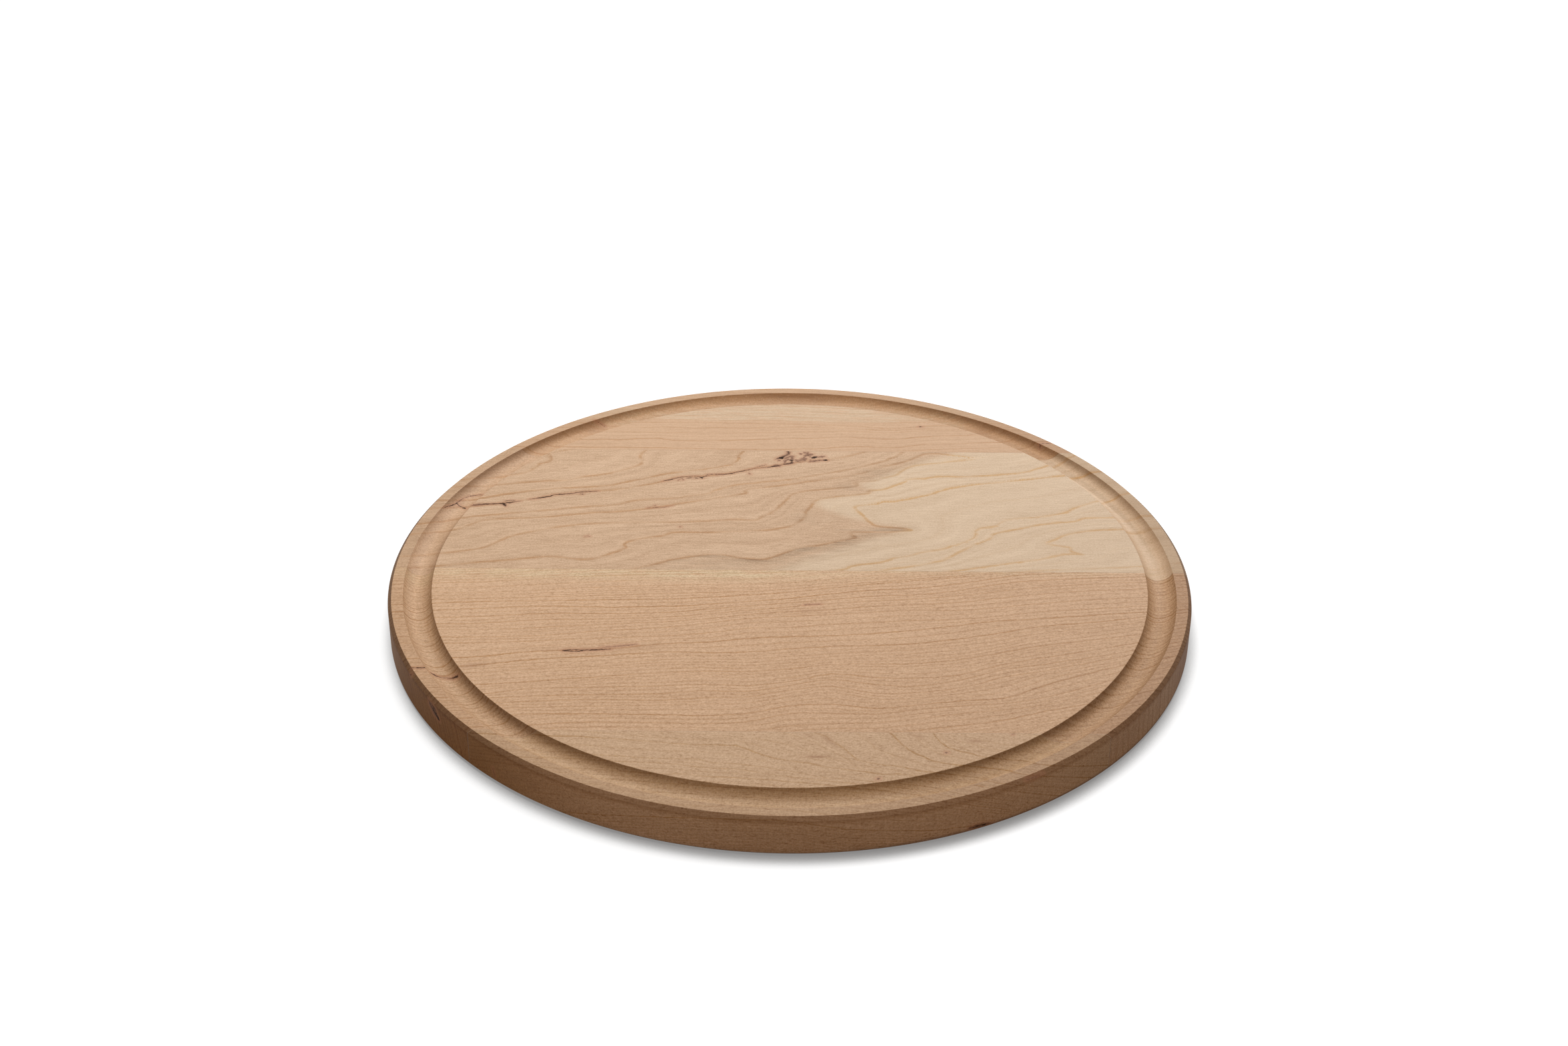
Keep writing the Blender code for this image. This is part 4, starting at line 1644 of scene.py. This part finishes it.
FRONT_FIGURE = Figure(
    lines=(
        ring(1.05, (64, -120), (64.5, -130), (65.5, -138), (67.3, -143.2), (69, -145.9), (71.8, -148.6),
             (75.5, -150.5), (81, -152.7), (88, -155.5), (110, -160), (150, -166)),
        ring(1.2, (36, -126), (45.5, -137.7), (48.2, -141.8), (49.5, -145), (51.8, -148.2), (54.5, -151.4),
             (60, -155.5), (62.7, -157.7), (67.3, -159.5), (75.5, -161.4), (110, -169), (150, -178)),
        ring(0.8, (-4, -128), (13, -138.6), (16.4, -140), (18.2, -143.6), (22.7, -147.3), (26.4, -152.7),
             (30, -157.7), (39, -161.4), (46.4, -162.3), (58, -165.5), (100, -176), (140, -186)),
        ring(0.3, (-90, -135), (-60, -138.5), (-30, -141), (-15, -143), (0, -147), (8, -151), (14, -155.5),
             (22, -158.5), (30, -161.5), (40, -164), (52, -166.5), (90, -177), (130, -188)),
        ring(0.85, (-150, -140), (-102.7, -141.8), (-93.6, -142), (-80, -143.2), (-68, -144.7), (-49, -147),
             (-27, -147.7), (-22.7, -148.2), (-15.5, -152.7), (-7.3, -156.8), (0, -159), (10.5, -161.4),
             (20, -164), (31, -166), (42, -168.2), (54, -168.8), (90, -178), (120, -188)),
        ring(0.5, (-150, -150), (-130, -152), (-82.7, -155.9), (-63.6, -158), (-45.5, -158.4), (-39, -158.9),
             (-34.5, -160.9), (-21, -162), (-10, -164.3), (0, -166.8), (8, -169), (13.6, -171), (26, -172.2),
             (60, -178), (100, -190)),
        ring(0.5, (-150, -154.5), (-130, -157), (-71.8, -160.5), (-54.5, -161.4), (-41, -164),
             (-22.7, -165.5), (-10, -168.6), (0, -170.7), (17, -173.5), (26, -174.8), (60, -181),
             (100, -194)),
        ring(0.6, (-150, -160), (-130, -163), (-58, -169.3), (-50, -169), (-36.4, -170.7), (-18, -172),
             (3.6, -174.5), (21.8, -177.3), (60, -185), (100, -198)),
        ring(0.4, (-150, -166), (-60, -176), (0, -181), (22, -184.5), (60, -191), (100, -202)),
        ring(0.3, (-150, -173), (-60, -183), (0, -187.5), (25, -191.5), (60, -197), (100, -204)),
        ring(0.4, (-150, -181), (-60, -190), (0, -194), (25, -199), (60, -203.5), (100, -205.8)),
        ring(1.0, (-150, -195), (-98, -200.7), (-52, -201.1), (-6.5, -201.6), (10, -205), (22, -208.5),
             (34, -210), (50, -211), (63, -211.7), (77, -209.5), (110, -207.5)),
    ),
    outer_gap=4.6,
    lean_left=1.4,
    lean_right=1.66,
    mark_before=0.0,
    mark_after=0.35,
)

FRONT_GUM = (
    black((69.7, -152, 0.14), (70.4, -152, 0.14)),
    black((38.6, -171.7, 0.16), (39.5, -171.5, 0.16)),
    brown((70.0, -152.1, 0.45)),
    brown((39.0, -171.6, 0.4)),
    brown((100.5, -137.9, 0.1)),
    Scar(((79.0, -183.7, 3.2, 0.3), (82, -182.4, 3.2, 0.9), (85, -181, 3.0, 0.9), (88.5, -179.3, 2.6, 0.3)),
         Gum.BROWN),
    Scar(((80.5, -183.1, 3.0, 0.1), (83, -182, 3.1, 0.3), (86, -180.5, 2.9, 0.2))),
    Scar(((-133.0, -149.4, 7.7, 0.1), (-132.2, -150.0, 3.8, 0.2)), Gum.BROWN),
    Scar(((104.0, -170.2, 19.6, 0.1), (108.0, -168.0, 19.4, 0.3), (112.0, -165.4, 19.5, 0.1)), Gum.BROWN),
)

FRONT_STAINS = (
    Patch(83.5, -143.3, 3.4, 1.1, 0.7, -5),
    Patch(57, -139.8, 3.5, 0.9, 0.5, -20),
    Patch(12, -156, 4.5, 0.7, 0.85, 0),
    Patch(17.5, -143.5, 5.0, 1.6, 0.4, -55),
    Patch(9, -140.5, 4.0, 1.0, 0.3, -35),
)


# The wood of each stave

BACK_WOOD = WoodFinish(
    name="back_stave_fruitwood",
    heart=(0.573, 0.366, 0.223),
    sap=(0.61, 0.456, 0.309),
    smoke=(0.590, 0.422, 0.277),
    seed=31.0,
    line_half_width=1.0,
    line_power=0.9,
    groove_lines=0.6,
    bands=0.32,
    fibre=0.34,
    grain=0.32,
    pores=0.07,
    turned_grain_and_shade_tint=(0.83, 0.735, 0.60),
)

STREAKED_WOOD = WoodFinish(
    name="streaked_stave_fruitwood",
    heart=(0.573, 0.379, 0.237),
    sap=(0.642, 0.475, 0.322),
    smoke=(0.435, 0.295, 0.185),
    seed=47.0,
    smoke_line_tint=(0.62, 0.56, 0.48),
    line_half_width=1.7,
    line_power=0.74,
    line_shadow=0.36,
    bands=0.50,
    fibre=0.60,
    grain=0.66,
    turned_grain_and_shade_tint=(0.93, 0.88, 0.84),
)

STRAIGHT_WOOD = WoodFinish(
    name="straight_grain_fruitwood",
    heart=(0.614, 0.392, 0.237),
    sap=(0.6, 0.4, 0.27),
    smoke=(0.64, 0.470, 0.290),
    seed=59.0,
    line_tint=(0.76, 0.64, 0.47),
    line_half_width=0.8,
    line_power=1.25,
    line_breaks=0.55,
    between=0.42,
    groove_lines=1.2,
    bands=0.30,
    fibre=0.40,
    grain=0.72,
    pores=0.22,
    painted_light_left=0.50,
    turned_grain_and_shade_tint=(0.79, 0.745, 0.665),
)

FRONT_WOOD = WoodFinish(
    name="front_stave_fruitwood",
    heart=(0.585, 0.387, 0.237),
    sap=(0.6, 0.4, 0.27),
    smoke=(0.55, 0.37, 0.25),
    seed=73.0,
    line_tint=(0.77, 0.66, 0.46),
    line_half_width=0.8,
    line_power=1.2,
    line_breaks=0.45,
    between=0.3,
    groove_lines=1.1,
    bands=0.26,
    fibre=0.36,
    grain=0.68,
    pores=0.22,
    turned_grain_and_shade_tint=(0.93, 0.87, 0.75),
)


@dataclass
class CuttingBoard:
    """All the pieces of the board."""

    sizes: BoardSizes = field(default_factory=BoardSizes)

    def staves(self) -> list[Stave]:
        """Describes the four staves from back to front.

        Returns:
            The staves.
        """
        half = self.sizes.glue_film / 2.0
        beyond = self.sizes.radius + 5.0
        back_seam = self.sizes.back_seam
        front_seam = self.sizes.front_seam
        streak = STREAK_IN_GROOVE + STREAK_AT_LEFT + STREAK_IN_MIDDLE + KNOT_CLUSTER
        return [
            Stave("back_stave", back_seam + half, beyond, BACK_FIGURE, BACK_WOOD,
                  gum=BACK_GUM, stains_and_shade=BACK_STAINS_AND_LIP_SHADE, smoke=BACK_PALE_BAND),
            Stave("streaked_stave", half, back_seam - half, STREAKED_FIGURE, STREAKED_WOOD,
                  gum=streak, smoke=STREAKED_SMOKE, sap_edge=STREAKED_SAP_EDGE),
            Stave("straight_grain_stave", front_seam + half, -half, STRAIGHT_FIGURE, STRAIGHT_WOOD,
                  gum=STRAIGHT_GUM, stains_and_shade=STRAIGHT_STAINS, smoke=STRAIGHT_PALE_EDGE),
            Stave("front_stave", -beyond, front_seam - half, FRONT_FIGURE, FRONT_WOOD,
                  gum=FRONT_GUM, stains_and_shade=FRONT_STAINS),
        ]

    def films(self) -> list[GlueFilm]:
        """Describes the three glue films from back to front.

        Returns:
            The films.
        """
        glue = GlueFinish()
        return [
            GlueFilm("back_glue_film", "back_glue", self.sizes.back_seam, glue),
            GlueFilm("centre_glue_film", "centre_glue", 0.0, glue),
            GlueFilm("front_glue_film", "front_glue", self.sizes.front_seam, glue),
        ]


# Studio and camera


@dataclass(frozen=True)
class Softbox:
    """One soft lamp: degrees from straight back and up, metres off and across, share of the light."""

    azimuth: float
    elevation: float
    distance: float
    width: float
    share: float


class Lamp(Enum):
    """The studio's soft lamps."""

    BACK_RIGHT = Softbox(38.0, 60.0, 3.00, 1.20, 0.372)
    BACK = Softbox(0.0, 42.0, 1.50, 0.45, 0.085)
    OVERHEAD = Softbox(-75.0, 74.0, 0.90, 0.70, 0.285)
    LOW = Softbox(24.0, 21.0, 1.50, 0.05, 0.080)


@dataclass(frozen=True)
class FloorFinish:
    """A floor that is white to the camera, shaded close under the board, and a quiet grey to the board."""

    name: str = "pale_floor"
    pale: Colour = (0.25, 0.25, 0.25)
    glow: float = 0.90
    shade_glow: float = 0.23
    shade_reach: float = 14.0
    shade_lean: tuple[float, float, float] = (-0.11, 0.50, 0.0)
    bounce: Colour = (0.68, 0.58, 0.48)

    def material(self) -> bpy.types.Material:
        """Builds the floor's material.

        Returns:
            The material.
        """
        sheet = NodeSheet(self.name)
        bounce = sheet.node("ShaderNodeBsdfDiffuse", {"Color": (*self.bounce, 1.0)}).outputs[0]
        pale = sheet.node("ShaderNodeBsdfDiffuse", {"Color": (*self.pale, 1.0)}).outputs[0]
        upward = sheet.node("ShaderNodeNewGeometry").outputs["Normal"]
        lean = sheet.vector("NORMALIZE", sheet.vector("ADD", upward, self.shade_lean))
        inputs = {"Distance": self.shade_reach * MM, "Normal": lean}
        near = sheet.node("ShaderNodeAmbientOcclusion", inputs).outputs["AO"]
        strength = sheet.fade(near, 0.34, 0.79, self.shade_glow, self.glow)
        inputs = {"Color": (1.0, 1.0, 1.0, 1.0), "Strength": strength}
        glow = sheet.node("ShaderNodeEmission", inputs).outputs[0]
        white = sheet.node("ShaderNodeAddShader", {0: pale, 1: glow}).outputs[0]
        surface = sheet.node("ShaderNodeMixShader", {0: self._seen(sheet), 1: bounce, 2: white})
        return sheet.close(surface.outputs[0])

    @staticmethod
    def _seen(sheet: NodeSheet) -> Socket:
        """Tells what the camera sees, straight, in gloss or through glass.

        Args:
            sheet: The nodes to add to.

        Returns:
            The socket of 1 for what it sees and 0 for what lights the board.
        """
        path = sheet.node("ShaderNodeLightPath").outputs
        straight = sheet.math("MAXIMUM", path["Is Camera Ray"], path["Is Glossy Ray"])
        return sheet.math("MAXIMUM", straight, path["Is Transmission Ray"])


@dataclass(frozen=True)
class Studio:
    """A plain pale floor, soft lamps behind the board and weak even light all round."""

    floor_size: float = 12.0
    floor_finish: FloorFinish = FloorFinish()
    room_light: Colour = (0.220, 0.202, 0.184)

    def build(self) -> None:
        """Sets up floor, lamps, room light and the plain view transform."""
        self._floor()
        self._room()
        for lamp in Lamp:
            self._lamp(lamp)
        bpy.context.scene.view_settings.view_transform = "Standard"

    def _floor(self) -> None:
        """Lays the floor."""
        half = self.floor_size / 2.0
        corners = ((-half, -half), (half, -half), (half, half), (-half, half))
        bm = bmesh.new()
        bm.faces.new([bm.verts.new((x, y, 0.0)) for x, y in corners])
        mesh = bpy.data.meshes.new("floor")
        bm.to_mesh(mesh)
        bm.free()
        floor = bpy.data.objects.new("floor", mesh)
        bpy.context.scene.collection.objects.link(floor)
        mesh.materials.append(self.floor_finish.material())

    def _room(self) -> None:
        """Gives the world its even light, and its white to the camera."""
        world = bpy.data.worlds.new("plain_room")
        world.use_nodes = True
        tree = world.node_tree
        tree.nodes.clear()
        path = tree.nodes.new("ShaderNodeLightPath")
        colour = tree.nodes.new("ShaderNodeMix")
        colour.data_type = "RGBA"
        colour.inputs[6].default_value = (*self.room_light, 1.0)
        colour.inputs[7].default_value = (1.0, 1.0, 1.0, 1.0)
        background = tree.nodes.new("ShaderNodeBackground")
        output = tree.nodes.new("ShaderNodeOutputWorld")
        tree.links.new(path.outputs["Is Camera Ray"], colour.inputs[0])
        tree.links.new(colour.outputs[2], background.inputs["Color"])
        tree.links.new(background.outputs[0], output.inputs["Surface"])
        bpy.context.scene.world = world

    @staticmethod
    def _lamp(lamp: Lamp) -> None:
        """Hangs one soft square lamp that gives its share of the light on the board.

        Args:
            lamp: The lamp's place, size and share.
        """
        box = lamp.value
        turn = math.radians(box.azimuth)
        rise = math.radians(box.elevation)
        way = Vector((math.sin(turn) * math.cos(rise), math.cos(turn) * math.cos(rise), math.sin(rise)))
        place = way * box.distance
        data = bpy.data.lights.new(lamp.name.lower(), "AREA")
        data.shape = "SQUARE"
        data.size = box.width
        data.energy = box.share * math.pi**2 * box.distance**2 / math.sin(rise)
        light = bpy.data.objects.new(lamp.name.lower(), data)
        light.location = place
        light.rotation_euler = (-place).to_track_quat("-Z", "Y").to_euler()
        bpy.context.scene.collection.objects.link(light)


@dataclass(frozen=True)
class PhotoCamera:
    """The photograph's view point and lens, from the board's own edges in it."""

    place: tuple[float, float, float] = (-0.00309, -0.96400, 0.62294)
    down: float = 0.53769
    roll: float = 0.00761
    lens: float = 51.89
    sensor: float = 36.0

    def build(self) -> None:
        """Places the camera and makes it the scene's own."""
        c = math.cos(self.down)
        s = math.sin(self.down)
        cr = math.cos(self.roll)
        sr = math.sin(self.roll)
        right = (cr, sr * s, sr * c)
        up = (-sr, cr * s, cr * c)
        back = (0.0, -c, s)
        columns = Matrix((right, up, back)).transposed()
        data = bpy.data.cameras.new("photo_camera")
        data.lens = self.lens
        data.sensor_width = self.sensor
        data.sensor_fit = "HORIZONTAL"
        camera = bpy.data.objects.new("photo_camera", data)
        camera.matrix_world = Matrix.Translation(self.place) @ columns.to_4x4()
        bpy.context.scene.collection.objects.link(camera)
        bpy.context.scene.camera = camera


def main() -> None:
    """Builds the studio, the camera and the board's pieces."""
    logging.basicConfig(level=logging.INFO, format="%(name)s: %(message)s")
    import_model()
    PhotoCamera().build()
    Studio().build()
    board = CuttingBoard()
    shape = TurnedShape(board.sizes)
    for part in [*board.staves(), *board.films()]:
        piece = part.build(shape)
        LOG.info("%s: %d faces", piece.name, len(piece.data.polygons))


if __name__ == "__main__":
    main()
